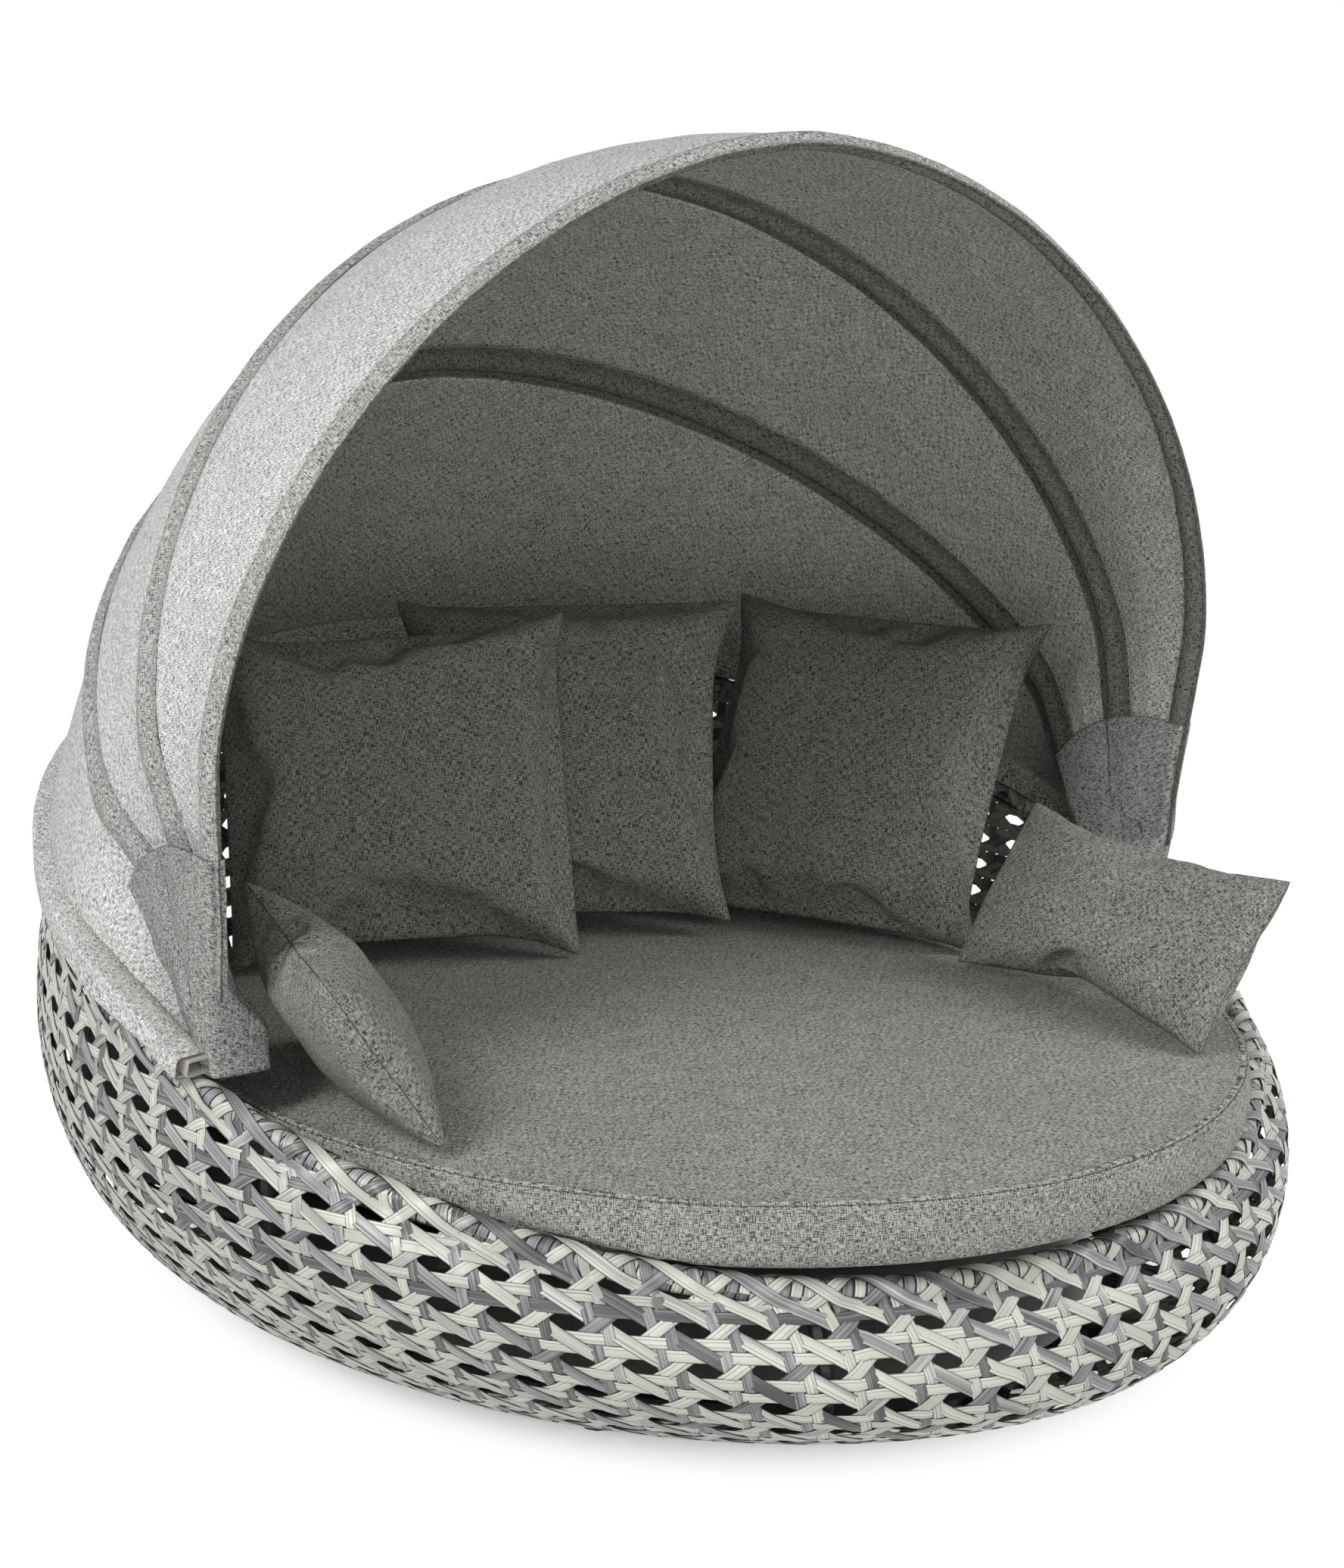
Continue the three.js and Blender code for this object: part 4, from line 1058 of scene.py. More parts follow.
# pillows
pillowForms = {
    "pillow": {"width": 0.575, "height": 0.575, "full": 0.150, "drawIn": 0.034},
    "arm": {"width": 0.530, "height": 0.290, "full": 0.140, "drawIn": 0.020, "endSeam": 0.226},
}
pillowMaking = {
    "power": 2.4,
    "bulgePower": 0.6,
    "grid": 46,
    "fewestRows": 20,
    "frames": 22,
    "startFull": 0.62,
    "shake": 0.004,
    "shakeScales": (14, 14, 5),
    "cap": 0.045,
    "gap": 0.0006,
    "backUv": 2.0,
    "seedStep": 3.3,
}
inflation = {
    "quality": 7,
    "mass": 0.25,
    "use_pressure": True,
    "uniform_pressure_force": 4.2,
    "tension_stiffness": 25,
    "compression_stiffness": 25,
    "shear_stiffness": 12,
    "bending_stiffness": 0.25,
}
pillowPlaces = {
    "pillow_left": {"x": -0.325, "y": 0.6, "turn": 26, "lean": 28, "roll": 2, "fill": 0.7},
    "pillow_middle": {"x": 0.08, "y": 0.6, "turn": 36, "lean": 27, "roll": 2, "fill": 0.65},
    "pillow_right": {"x": 0.62, "y": 0.33, "turn": 60, "lean": 31, "roll": -1, "fill": 0.75},
    "arm_pillow_left": {"x": -0.87, "y": -0.13, "turn": -76, "lean": 33, "roll": 0, "fill": 0.75},
    "arm_pillow_right": {"x": 0.68, "y": -0.38, "turn": 84, "lean": 34, "roll": -3, "fill": 0.7},
}


def startPillow(name, size, seed):  # two grids joined at the edge, a little full
    halfWidth, halfHeight = size["width"] / 2, size["height"] / 2
    grid = pillowMaking["grid"]
    bm = bmesh.new()
    count = max(int(grid * size["height"] / size["width"]), pillowMaking["fewestRows"])
    bmesh.ops.create_grid(bm, x_segments=grid, y_segments=count, size=1)
    uv = bm.loops.layers.uv.new("cloth")
    for face in bm.faces:
        for loop in face.loops:
            loop[uv].uv = (loop.vert.co.x * halfWidth + seed, loop.vert.co.y * halfHeight)
    back = bmesh.ops.duplicate(bm, geom=bm.verts[:] + bm.edges[:] + bm.faces[:])["geom"]
    backFaces = [g for g in back if isinstance(g, bmesh.types.BMFace)]
    bmesh.ops.reverse_faces(bm, faces=backFaces)
    for face in backFaces:
        for loop in face.loops:
            loop[uv].uv.y += pillowMaking["backUv"]
    behind = {g for g in back if isinstance(g, bmesh.types.BMVert)}
    power, full = pillowMaking["power"], size["full"] * pillowMaking["startFull"]
    for vert in bm.verts:
        u, v = vert.co.x, vert.co.y
        bulge = max((1 - abs(u) ** power) * (1 - abs(v) ** power), 0) ** pillowMaking["bulgePower"]
        vert.co = (u * halfWidth, v * halfHeight, (-1 if vert in behind else 1) * full / 2 * bulge)
    bmesh.ops.remove_doubles(bm, verts=bm.verts, dist=1e-5)
    obj = makeObject(name, bm)
    x, y = gridCoords(obj.data)[:, :2].T
    border = np.minimum(halfWidth - np.abs(x), halfHeight - np.abs(y))
    if "endSeam" in size:
        border = np.minimum(border, np.abs(x - size["endSeam"] * np.sign(x)))
    # painted shade: the colour darkens in a crease along these seams
    setPointValue(obj.data, "edge", border)
    return obj


def inflate(obj, seed):  # Blender's cloth, blown up from inside, with no point far from its start
    start = gridCoords(obj.data)
    shift = np.array([seed, 0, 0])
    shake = np.array([noise.noise(p) for p in start * pillowMaking["shakeScales"] + shift])
    co = start.copy()
    co[:, 2] += shake * pillowMaking["shake"] * np.sign(start[:, 2])
    setCoords(obj.data, co)
    modifier = obj.modifiers.new("inflate", "CLOTH")
    for key, value in inflation.items():
        setattr(modifier.settings, key, value)
    modifier.settings.effector_weights.gravity = 0
    modifier.collision_settings.use_collision = False
    modifier.point_cache.frame_start = 1
    modifier.point_cache.frame_end = pillowMaking["frames"]
    for number in range(1, pillowMaking["frames"] + 1):
        scene.frame_set(number)
    applyModifiers(obj)
    scene.frame_set(1)
    step = gridCoords(obj.data) - start
    length = np.linalg.norm(step, axis=1, keepdims=True)
    return start + step * np.minimum(1, pillowMaking["cap"] / np.maximum(length, 1e-9))


def addPillow(name, place, seed, material):
    size = pillowForms[name.split("_")[0]]
    obj = startPillow(name + "Soft", size, seed)
    co = inflate(obj, seed)
    spans = co.max(0) - co.min(0)
    wanted = np.array([size["width"], size["height"], size["full"]])
    co = (co - (co.max(0) + co.min(0)) / 2) * (wanted / spans)
    turn = (
        Matrix.Rotation(math.radians(-place["turn"]), 3, "Z")
        @ Matrix.Rotation(math.pi / 2 - math.radians(place["lean"]), 3, "X")
        @ Matrix.Rotation(math.radians(place["roll"]), 3, "Z")
    )
    co = co @ np.array(turn).T
    halfWidth, halfLength, centreY = seat["oval"]
    co[:, 0] += place["x"] * halfWidth
    co[:, 1] += centreY + place["y"] * halfLength
    co[:, 2] += (seatHeightAt(co[:, 0], co[:, 1]) - co[:, 2]).max() + pillowMaking["gap"]
    setCoords(obj.data, co)
    subdivide = obj.modifiers.new("smooth", "SUBSURF")
    subdivide.levels = subdivide.render_levels = 1
    for face in obj.data.polygons:
        face.use_smooth = True
    obj.data.materials.clear()
    obj.data.materials.append(material)
    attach(obj, "base")
    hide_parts(name)
    print(name, "done")


def addPillows():
    cloth = {"pillow": clothMaterial("pillowCloth"), "arm": clothMaterial("armCloth")}
    for number, (name, place) in enumerate(pillowPlaces.items()):
        addPillow(name, place, number * pillowMaking["seedStep"], cloth[name.split("_")[0]])


# canopy
bowNames = ("front", "middle", "rear")
canopy = {
    "pivot": (0.0, -0.21, 0.47409),
    "pivotX": 0.856,
    "leans": (8.0, -19.1, -46.6),
    "halfWidth": 0.837,
    "height": 1.197,
    "leg": 0.390,
    "power": 1.835,
    "splayEnd": 0.420,
    "start": 0.150,
    "belowPivot": 0.015,
    "pitch": 0.026,
    "toBow": 0.036,
    "tuck": 0.001,
    "sag": 0.005,
    "fold": 0.005,
    "foldReach": 0.26,
    "cloth": 0.0012,
    "steps": 150,
    "rows": 24,
    "railOutset": 0.008,
    "railLift": (0.001, 0.015, 0.150),
    "railHalfHeight": 0.0125,
    "railPast": 0.022,
    "bandHalf": (0.024, 0.036, 0.036),
    "underBand": 0.007,
    "pastRail": 0.004,
    "blendReach": 0.42,
    "outlinePoints": (60, 400),
    "railPoints": 700,
    "smoothing": 3,
}


def legAt(index, height):
    own = canopy["pivotX"] - canopy["toBow"] - index * canopy["pitch"]
    share = np.clip((height - canopy["start"]) / (canopy["splayEnd"] - canopy["start"]), 0, 1)
    return own + (canopy["halfWidth"] - own) * share


def bowOutline(index):  # left end to right end in the bow's own plane, x across and reach up
    legPoints, archPoints = canopy["outlinePoints"]
    low = np.linspace(-canopy["belowPivot"], canopy["leg"], legPoints)
    angles = np.linspace(0, math.pi, archPoints)[1:-1]
    share = 2 / canopy["power"]
    height = canopy["leg"] + (canopy["height"] - canopy["leg"]) * np.sin(angles) ** share
    c = np.cos(angles)
    x = -legAt(index, height) * np.sign(c) * np.abs(c) ** share
    left = np.stack([-legAt(index, low), low], -1)
    right = np.stack([legAt(index, low), low], -1)[::-1]
    points = np.concatenate([left, np.stack([x, height], -1), right])
    return np.insert(points, 1, 0.0, axis=1)


def evenLine(points, trim, count):
    lengths = runOf(points)
    places = np.linspace(trim, lengths[-1] - trim, count)
    return smoothLine(pointsAt(points, lengths, places), canopy["smoothing"])


def railAt(turn):
    halfWidth, halfLength, centreY = basket["rim"]
    x, y = ovalAt((halfWidth + canopy["railOutset"], halfLength, centreY), turn)
    low, high, run = canopy["railLift"]
    lift = low + (high - low) * smoothStep(y - canopy["pivot"][1], 0, run) + canopy["railHalfHeight"]
    above = (basket["rimRadius"] + lift) * math.hypot(1, basket["rimRise"])
    return np.stack([x, y, rimTop(y) - basket["rimRadius"] + above], -1)


def railLine(trim, count):
    _, halfLength, centreY = basket["rim"]
    past = canopy["pivot"][1] - canopy["railPast"]
    first = -math.asin(min(abs(past - centreY) / halfLength, 1) ** (basket["planPower"] / 2))
    return evenLine(railAt(np.linspace(math.pi - first, first, canopy["railPoints"])), trim, count)


def polar(x, reach, lean):
    _, y, z = canopy["pivot"]
    return np.stack([x, y - reach * np.sin(lean), z + reach * np.cos(lean)], -1)


def edgeOf(name, start):  # the line that a panel's edge follows: a bow, or the rail
    count = canopy["steps"]
    if name == "rail":
        line = railLine(start + canopy["railPast"], count)
        _, y, z = canopy["pivot"]
        x, reach = line[:, 0], np.hypot(line[:, 1] - y, line[:, 2] - z)
        lean = np.arctan2(y - line[:, 1], line[:, 2] - z)
    else:
        index = bowNames.index(name)
        line = evenLine(bowOutline(index), start + canopy["belowPivot"], count)
        x, reach = line[:, 0], line[:, 2]
        lean = np.full(count, math.radians(canopy["leans"][index]))
    along = unit(np.stack([np.gradient(x), np.gradient(reach)], -1))
    return {"x": x, "reach": reach, "lean": lean, "out": np.stack([-along[:, 1], along[:, 0]], -1)}


# cloth pieces as grids
def stepsAlong(points, axis):
    return np.linalg.norm(np.diff(points, axis=axis), axis=-1)


def runsAlong(points, axis):  # the length run from a grid's edge to each of its points
    steps = stepsAlong(points, axis)
    return np.concatenate([np.zeros_like(steps.take([0], axis)), np.cumsum(steps, axis=axis)], axis=axis)


def hemDistance(points):  # how far each point of a grid lies from the grid's nearest edge
    run, side = runsAlong(points, 0), runsAlong(points, 1)
    return np.minimum(np.minimum(run, run[-1:] - run), np.minimum(side, side[:, -1:] - side))


def clothUv(points, offset):
    around = runsAlong(points, 0)
    middle = around[:, points.shape[1] // 2][:, None] + 0 * around
    return np.stack([middle + offset, runsAlong(points, 1)], -1)


def ripple(points, size, scale, seed):
    flat = points.reshape(-1, 3)
    found = [noise.noise((p[0] * scale + seed, p[1] * scale, p[2] * scale)) for p in flat]
    return size * np.array(found).reshape(points.shape[:2])


def surfaceGrid(name, points, uv, materials, thickness, closed=False, offset=0.0, **values):
    count, rows = points.shape[:2]
    bm = bmesh.new()
    bmesh.ops.create_grid(bm, x_segments=count - 1, y_segments=rows - 1, size=1)
    obj = makeObject(name, bm)
    co = gridCoords(obj.data)
    i = np.rint((co[:, 0] + 1) / 2 * (count - 1)).astype(int)
    j = np.rint((co[:, 1] + 1) / 2 * (rows - 1)).astype(int)
    setCoords(obj.data, points[i, j])
    setUv(obj.data, uv[i, j])
    for title, numbers in values.items():
        setPointValue(obj.data, title, numbers[i, j])
    if closed:
        bm = bmesh.new()
        bm.from_mesh(obj.data)
        bmesh.ops.remove_doubles(bm, verts=bm.verts, dist=1e-6)
        bmesh.ops.recalc_face_normals(bm, faces=bm.faces)
        bm.to_mesh(obj.data)
        bm.free()
    for material in materials:
        obj.data.materials.append(material)
    addSolidify(obj, thickness, offset, len(materials) - 1)
    return obj


# panels
panels = {
    "panel_front": {
        "edges": ("front", "middle"),
        "bodies": ("bow_middle", "bow_front"),
        "seed": 3.0,
        "start": 0.15,
    },
    "panel_middle": {
        "edges": ("middle", "rear"),
        "bodies": ("bow_rear", "bow_middle"),
        "seed": 7.0,
        "start": 0.15,
    },
    "panel_rear": {
        "edges": ("rear", "rail"),
        "bodies": ("base", "bow_rear"),
        "seed": 11.0,
        "start": 0.05,
    },
}
panelSoft = {
    "large": (0.0035, 5.0),
    "small": (0.0012, 21.0),
    "folds": 3,
    "farthestInset": 0.6,
    "slack": 1.03,
}
waves = {
    "height": 0.0045,
    "start": (0.66, 0.8),
    "end": (0.97, 1.0),
    "pitch": 95,
    "bend": (3.0, 31),
    "beat": 17,
    "least": 0.35,
    "reach": 1.25,
}


def leanInside(edge, name, side):  # the panel ends under a band's flange, or just past the rail's middle
    if name == "rail":
        inset = -canopy["pastRail"]
    else:
        inset = canopy["bandHalf"][bowNames.index(name)] - canopy["underBand"]
    return edge["lean"] + side * np.arcsin(np.minimum(inset / edge["reach"], panelSoft["farthestInset"]))


def looseWaves(v):  # the front cloth stands loose in small waves near its right end
    run = np.linspace(0, 1, canopy["steps"])[:, None]
    right = smoothStep(run, *waves["start"]) * (1 - smoothStep(run, *waves["end"]))
    bend, bendPitch = waves["bend"]
    high = np.sin(run * waves["pitch"] + bend * np.sin(run * bendPitch))
    high = high * (waves["least"] + (1 - waves["least"]) * np.abs(np.sin(run * waves["beat"])))
    return waves["height"] * right * high * np.sin(np.clip(v * waves["reach"], 0, 1) * math.pi)


def panelPoints(name, look):
    a, b = [edgeOf(edge, look["start"]) for edge in look["edges"]]
    v = np.linspace(0, 1, canopy["rows"])[None, :]

    def between(first, second):
        return first[:, None] * (1 - v) + second[:, None] * v

    lean = between(leanInside(a, look["edges"][0], -1), leanInside(b, look["edges"][1], 1))
    x, reach = between(a["x"], b["x"]), between(a["reach"], b["reach"])
    fade = np.clip(1 - (reach - canopy["start"]) / canopy["foldReach"], 0, 1)
    folds = canopy["fold"] * fade * np.sin(v * panelSoft["folds"] * math.pi) ** 2
    sag = canopy["sag"] * np.sin(v * math.pi) + folds
    base = polar(x, reach, lean)
    soft = ripple(base, *panelSoft["large"], look["seed"]) + ripple(base, *panelSoft["small"], look["seed"])
    by = canopy["tuck"] - sag + soft * np.sin(v * math.pi) ** 0.5
    if name == "panel_front":
        by = by + looseWaves(v)
    outX, outReach = [between(a["out"][:, i], b["out"][:, i]) for i in (0, 1)]
    return polar(x + outX * by, reach + outReach * by, lean)


def addPanels(materials):
    for name, look in panels.items():
        points = panelPoints(name, look)
        uv = clothUv(points, look["seed"])
        # painted shade: a dark crease along the panel's hems
        edge = hemDistance(points)
        obj = surfaceGrid(name + "Cloth", points, uv, materials, canopy["cloth"], edge=edge)
        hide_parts(name)
        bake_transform(obj)


# sections swept along the bows and the rail
bands = {
    "trim": 0.10,
    "steps": 230,
    "section": 45,
    "flange": 0.0022,
    "hump": 0.0102,
    "humpHalf": 0.0135,
    "humpPower": 4,
    "sideSharp": 6,
    "seedStep": 5.0,
    "cloth": 0.0008,
    "soft": 0.0013,
    "rippleScales": (14.0, 45.0),
    "smallShare": 0.4,
    "slack": 1.01,
}
tubes = {
    "bow": {"wide": 0.0196, "high": 0.0196, "wall": 0.002, "power": 2, "steps": 260, "section": 20},
    "rail": {"wide": 0.040, "high": 0.025, "wall": 0.003, "power": 9, "steps": 320, "section": 48},
}
railCloth = {
    "trim": 0.007,
    "steps": 330,
    "half": (0.0229, 0.0154),
    "power": 7,
    "section": 48,
    "cloth": 0.001,
    "seed": 2.0,
    "large": (0.0014, 11.0),
    "small": (0.0007, 38.0),
    "hang": 0.015,
    "hangBelow": -0.004,
    "hangStart": (0.02, 0.2),
    "overBolt": 0.009,
    "boltEnds": (0.030, 0.075),
    "boltDeep": 0.018,
    # where the painted shade of the inner side begins
    "shadedInsideFrom": -0.012,
}


def ovalSection(halfWide, halfHigh, power, count):  # a closed loop: its first place comes again at the end
    angle = np.linspace(0, 2 * math.pi, count + 1)
    c, s = np.cos(angle), np.sin(angle)
    wide = halfWide * np.sign(c) * np.abs(c) ** (2 / power)
    high = halfHigh * np.sign(s) * np.abs(s) ** (2 / power)
    return wide, high


def bandSection(half):  # flat flanges with a hump over the bow's tube, inside and outside
    angle = np.linspace(0, 2 * math.pi, bands["section"])
    across = np.cos(angle) * half
    side = np.clip(np.sin(angle) * bands["sideSharp"], -1, 1)
    hump = bands["hump"] * np.exp(-((np.abs(across) / bands["humpHalf"]) ** bands["humpPower"]))
    return across, side * (bands["flange"] + hump)


def sweep(line, first, second, across, rise):  # a section's points along a line, their UV, its length round
    section = first[:, None, :] * across[None, :, None] + second[:, None, :] * rise[None, :, None]
    points = line[:, None, :] + section
    around = np.concatenate([[0], np.cumsum(np.hypot(np.diff(across), np.diff(rise)))])
    uv = np.stack(np.broadcast_arrays(runOf(line)[:, None], around[None, :]), -1)
    return points, uv, float(around[-1])


def rippleRound(points, large, small, seed):
    wave = ripple(points, *large, seed) + ripple(points, *small, seed)
    wave[:, -1] = wave[:, 0]
    return wave[:, :, None]


def sweepOnBow(index, line, across, rise, soft=0.0):  # a section along a bow's line, leant with the bow
    along = unit(np.gradient(line, axis=0))
    out = np.stack([-along[:, 2], 0 * along[:, 0], along[:, 0]], -1)
    local, uv, width = sweep(line, np.array([[0.0, -1.0, 0.0]]), out, across, rise)
    if soft:
        large, small = bands["rippleScales"]
        seed = index * bands["seedStep"]
        wave = rippleRound(local, (soft, large), (soft * bands["smallShare"], small), seed)
        local = local + out[:, None, :] * wave
    lean = math.radians(canopy["leans"][index])
    y, z = local[..., 1], local[..., 2]
    c, s = math.cos(lean), math.sin(lean)
    _, pivotY, pivotZ = canopy["pivot"]
    return np.stack([local[..., 0], pivotY + y * c - z * s, pivotZ + y * s + z * c], -1), uv, width


def addBands(materials):
    for index, name in enumerate(bowNames):
        line = evenLine(bowOutline(index), bands["trim"], bands["steps"])
        half = canopy["bandHalf"][index]
        across, rise = bandSection(half)
        points, uv, width = sweepOnBow(index, line, across, rise, bands["soft"])
        # painted shade: a dark crease along the band's edges, and on its inner side the darker copy of the
        # band cloth
        edge = half - np.abs(across)[None, :] + 0 * points[..., 0]
        outside = (rise > 0)[None, :] + 0.0 * points[..., 0]
        values = {"edge": edge, "outside": outside}
        obj = surfaceGrid(f"band_{name}", points, uv, materials, bands["cloth"], True, -1, **values)
        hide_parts(f"sleeve_{name}")
        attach(obj, f"bow_{name}")


def addBowTubes(material):
    size = tubes["bow"]
    for index, name in enumerate(bowNames):
        line = evenLine(bowOutline(index), 0.0, size["steps"])
        across, rise = ovalSection(size["wide"] / 2, size["high"] / 2, size["power"], size["section"])
        points, uv, _ = sweepOnBow(index, line, across, rise)
        obj = surfaceGrid(f"tube_{name}", points, uv, [material], size["wall"], closed=True, offset=-1)
        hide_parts(f"bow_{name}")
        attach(obj, f"bow_{name}")


def sweepOnRail(line, across, rise):
    along = unit(np.gradient(line, axis=0))
    out = unit(np.cross(along, upwards))
    return sweep(line, out, np.cross(out, along), across, rise)


def addRailTube(material):
    size = tubes["rail"]
    line = railLine(0.0, size["steps"])
    across, rise = ovalSection(size["wide"] / 2, size["high"] / 2, size["power"], size["section"])
    points, uv, _ = sweepOnRail(line, across, rise)
    rail = surfaceGrid("railTube", points, uv, [material], size["wall"], closed=True, offset=-1)
    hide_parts("canopy_rail")
    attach(rail, "base")


def addRailCloth(material):
    line = railLine(railCloth["trim"], railCloth["steps"])
    across, rise = ovalSection(*railCloth["half"], railCloth["power"], railCloth["section"])
    points, uv, width = sweepOnRail(line, across, rise)
    wave = rippleRound(points, railCloth["large"], railCloth["small"], railCloth["seed"])
    points = points + unit(points - line[:, None, :]) * np.abs(wave)
    # it bulges over the pivot bolt's head next to each end
    fromEnd = np.minimum(runOf(line), runOf(line)[-1] - runOf(line))
    swell = railCloth["overBolt"] * (1 - smoothStep(fromEnd, *railCloth["boltEnds"]))
    outwards = unit((line - np.array([0.0, basket["rim"][2], 0.0])) * np.array([1.0, 1.0, 0.0]))
    beyond = ((points - line[:, None, :]) * outwards[:, None, :]).sum(-1)
    deep = smoothStep(beyond, 0.0, railCloth["boltDeep"])
    points = points + outwards[:, None, :] * (swell[:, None] * deep)[..., None]
    # towards the back it hangs below the rail down to the rim
    hang = railCloth["hang"] * smoothStep(line[:, 1] - canopy["pivot"][1], *railCloth["hangStart"])
    points[..., 2] -= hang[:, None] * (rise < railCloth["hangBelow"])[None, :]
    width += 2 * railCloth["hang"]
    # painted shade: the side towards the seat takes the darker inner copy of the canopy cloth, and a dark
    # crease runs round its ends
    edge = fromEnd[:, None] + 0 * points[..., 0]
    outside = (beyond > railCloth["shadedInsideFrom"]).astype(float)
    cover = surfaceGrid(
        "railCloth", points, uv, [material], railCloth["cloth"], True, -1, edge=edge, outside=outside
    )
    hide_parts("sleeve_rail")
    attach(cover, "base")


# boots: a two-layer pocket round the bows' lower ends on each side, in a front and a rear half
boots = {
    "off": 0.0145,
    "side": 0.0165,
    "start": -0.020,
    "top": 0.284,
    "rows": 48,
    "acrossSteps": 22,
    "deep": (0.02, 0.11),
    "lap": 0.07,
    "overNut": 0.006,
    "swell": 0.004,
    "apart": 0.0012,
    "lowWiden": (0.012, 0.06),
    "large": (0.003, 9.0),
    "small": (0.0015, 30.0),
    "fold": 0.0035,
    "foldRun": (9.0, 38.0),
    "seeds": (4.0, 1.0),
    "uvShift": 3.0,
    "liftReach": 1.1,
    "cornerPoints": 15,
    "cornerPower": 0.45,
    "bulgePower": 0.55,
    "inwardMost": -0.0005,
}
bootHalves = {
    "front": {
        "bow": 0,
        "side": 1,
        "start": -0.020,
        "edges": ("front", "middle"),
        "bodies": ("bow_middle", "bow_front"),
    },
    "rear": {
        "bow": 2,
        "side": -1,
        "start": 0.0,
        "edges": ("middle", "rear"),
        "bodies": ("bow_rear", "bow_middle"),
    },
}


def bootPath(half, sign, reach):  # one row of a half: its outer layer, round its folded edge, its inner layer
    outer = legAt(0, reach) + boots["off"]
    deep = 1 - smoothStep(reach, *boots["deep"])  # low down the pocket holds all the bows' ends
    inmost = legAt(2, reach) - boots["off"] - boots["overNut"]
    innerMiddle, innerEnd = [legAt(bow, reach) - boots["off"] for bow in (1, half["bow"])]
    innerMiddle += (inmost - innerMiddle) * deep
    innerEnd += (inmost - innerEnd) * deep
    middleLean, endLean = [math.radians(canopy["leans"][bow]) for bow in (1, half["bow"])]
    v = np.linspace(-boots["lap"], 1, boots["acrossSteps"])  # the halves lap a little
    swell = boots["swell"] * np.sin(np.clip(v, 0, 1) * math.pi) + boots["apart"] * half["side"]
    around = np.linspace(0, math.pi, boots["cornerPoints"])[1:-1]
    corner = np.sign(np.cos(around)) * np.abs(np.cos(around)) ** boots["cornerPower"]
    bulge = boots["side"] * np.abs(np.sin(around)) ** boots["bulgePower"]
    inner = innerMiddle + (innerEnd - innerMiddle) * v - swell
    turned = (outer + innerEnd) / 2 + (outer - innerEnd) / 2 * corner
    x = np.concatenate([outer + swell, turned, inner[::-1]])
    share = np.concatenate([v, 0 * around + 1, v[::-1]])
    shift = np.concatenate([0 * v, bulge, 0 * v])
    lean = middleLean + (endLean - middleLean) * share
    down = np.array([0.0, -math.sin(middleLean), math.cos(middleLean)]) * min(reach, 0)
    across = np.stack([0 * lean, -np.cos(lean), -np.sin(lean)], -1)
    widen, widenEnd = boots["lowWiden"]
    near = widen * (1 - smoothStep(reach, 0.0, widenEnd)) * share
    sideways = across * (half["side"] * (shift + near))[:, None]
    return polar(sign * x, max(reach, 0), lean) + down + sideways, share


def bootPoints(half, sign):
    _, share = bootPath(half, sign, boots["top"])
    low = boots["start"] + (half["start"] - boots["start"]) * share
    rows = []
    for t in np.linspace(0, 1, boots["rows"]):
        reach = low + (boots["top"] - low) * t
        rows.append(np.stack([bootPath(half, sign, r)[0][k] for k, r in enumerate(reach)]))
    return np.stack(rows)


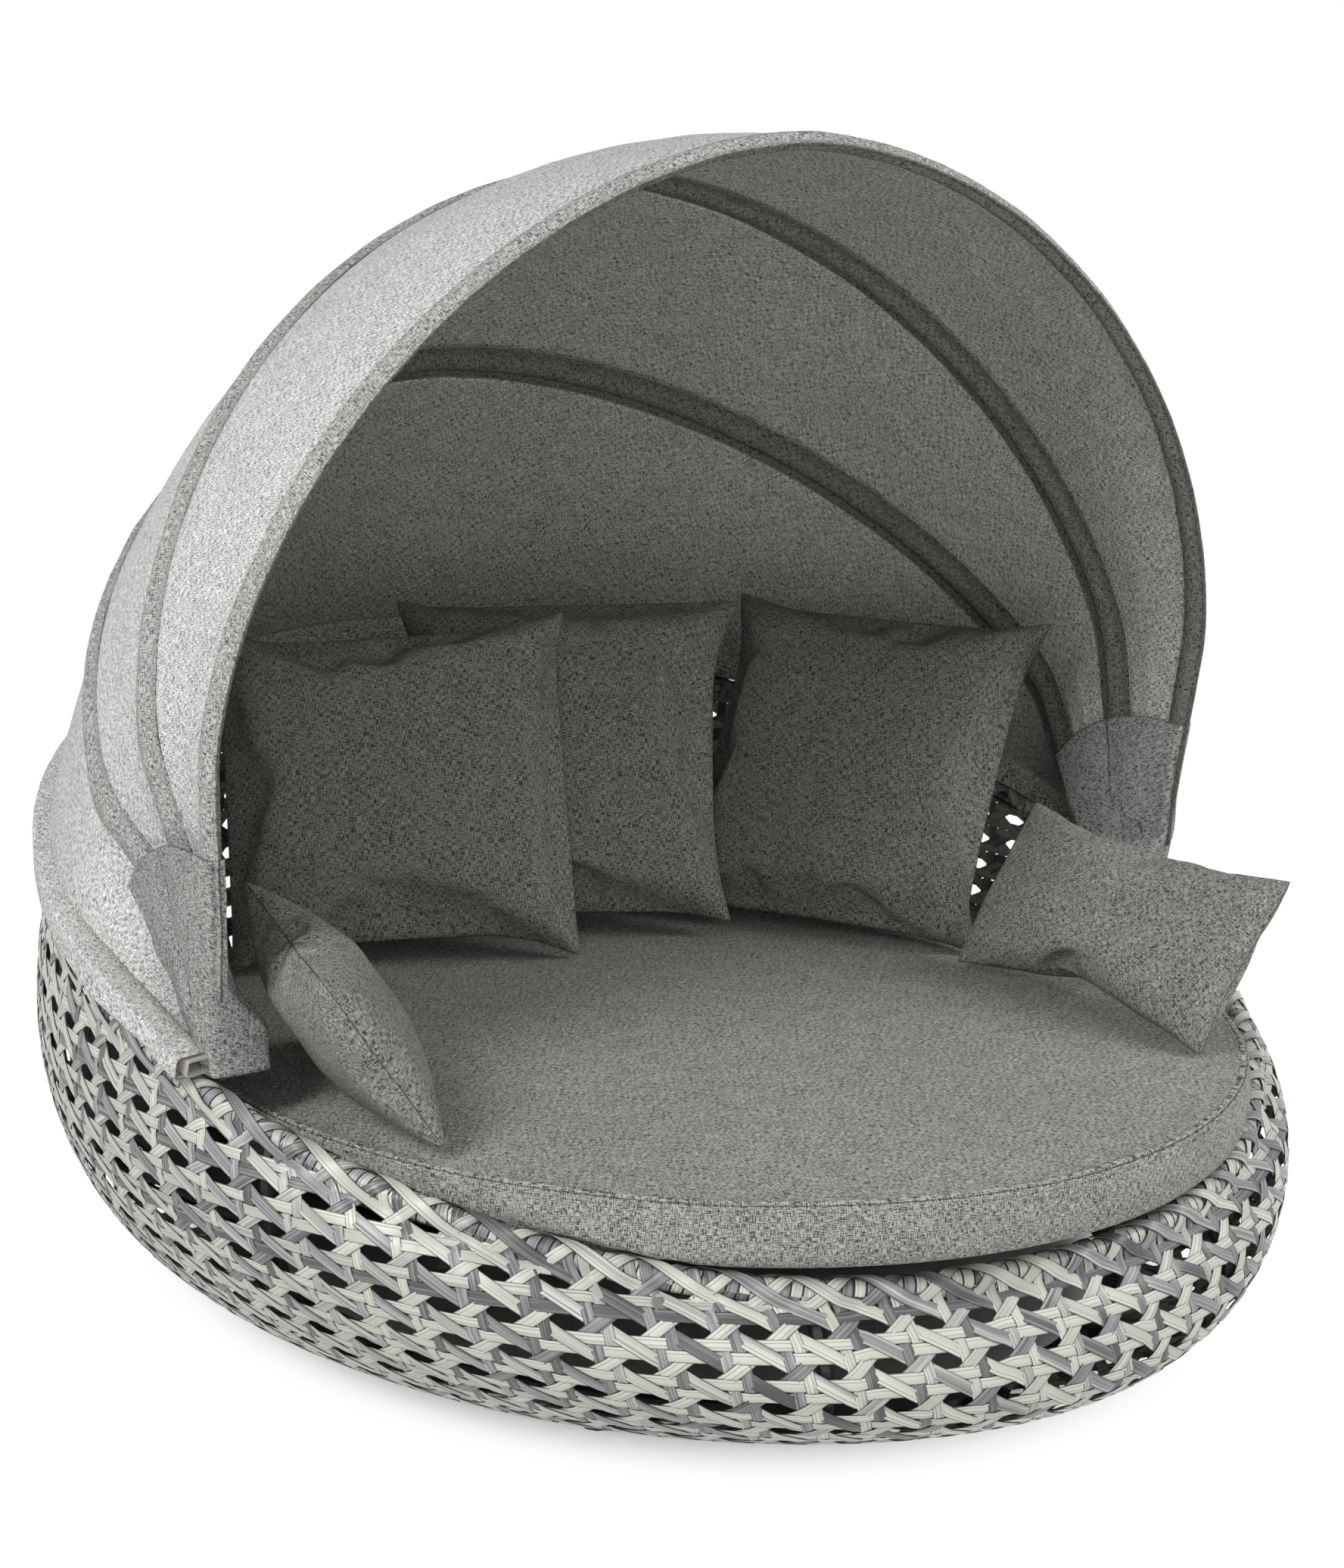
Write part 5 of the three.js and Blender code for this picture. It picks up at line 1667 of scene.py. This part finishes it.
def addBoots(materials):
    for side, sign in (("left", -1), ("right", 1)):
        for end, half in bootHalves.items():
            points = bootPoints(half, sign)
            away = unit(np.cross(np.gradient(points, axis=0), np.gradient(points, axis=1)))
            inwards = (away[:, : boots["acrossSteps"], 0] * sign).mean() < 0
            large, small = boots["seeds"]
            crease = ripple(points, *boots["large"], sign * large) + ripple(points, *boots["small"], small)
            t = np.linspace(0, 1, boots["rows"])[:, None]
            up, across = boots["foldRun"]
            fold = boots["fold"] * np.sin(t * up + points[..., 1] * across + sign) * np.sin(t * math.pi)
            lift = (crease + fold) * np.sin(np.clip(t * boots["liftReach"], 0, 1) * math.pi) ** 0.5
            outwards = -1 if inwards else 1  # a crease lifts off the bows and never goes down into them
            points = points + away * (outwards * np.maximum(outwards * lift, boots["inwardMost"]))[..., None]
            # painted shade: a dark crease along the boot's hems, and the face towards the bows and the seat
            # takes the darker copy of the boot cloth
            run = runsAlong(points, 0)
            edge = np.minimum(run, run[-1:] - run)
            faced = materials[::-1] if inwards else materials
            name = f"boot_{side}_{end}"
            uv = clothUv(points, boots["uvShift"] * sign)
            obj = surfaceGrid(name + "Cloth", points, uv, faced, canopy["cloth"], edge=edge)
            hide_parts(name)
            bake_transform(obj)


# the frame's own parts keep their CAD shape and get a finish
frameParts = {
    "paintedFrame": ("rail_post",),
    "darkFrame": ("base_ring", "seat_ring", "rim_tube", "rib_", "cross_rail", "seat_deck"),
    "footPlastic": ("foot_",),
    "boltSteel": ("pivot_bolt", "pivot_nut", "bow_spacer"),
}
softEdges = {"looks": ("footPlastic", "boltSteel"), "width": 0.0012, "segments": 2}


def finishFrame(materials):
    for look, starts in frameParts.items():
        for name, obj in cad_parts.items():
            if name.startswith(starts):
                obj.data.materials.clear()
                obj.data.materials.append(materials[look])
                if look in softEdges["looks"]:
                    bevel = obj.modifiers.new("edges", "BEVEL")
                    bevel.width = softEdges["width"]
                    bevel.segments = softEdges["segments"]


# the whole daybed
scene.view_settings.view_transform = "Standard"
addCamera()
addLamps()
addWorld()
addFloor()
strandFinish = strandMaterial()
addBasketWeave(strandFinish)
addRimWrap(strandFinish)
print("basket done")
addSeatCushion()
addPillows()
# the panels' inner face takes the darker copy of the canopy cloth: painted shade inside the canopy
addPanels([clothMaterial("canopyOutside"), clothMaterial("canopyInsideShaded")])
addBands([clothMaterial("bandOutside", "bandInsideShaded")])
addBoots([clothMaterial("bootCloth"), clothMaterial("bootInsideShaded")])
frameFinishes = {name: paintMaterial(name) for name in paints}
addBowTubes(frameFinishes["paintedFrame"])
addRailTube(frameFinishes["paintedFrame"])
addRailCloth(clothMaterial("railCloth", "canopyInsideShaded"))
finishFrame(frameFinishes)
print("canopy done")
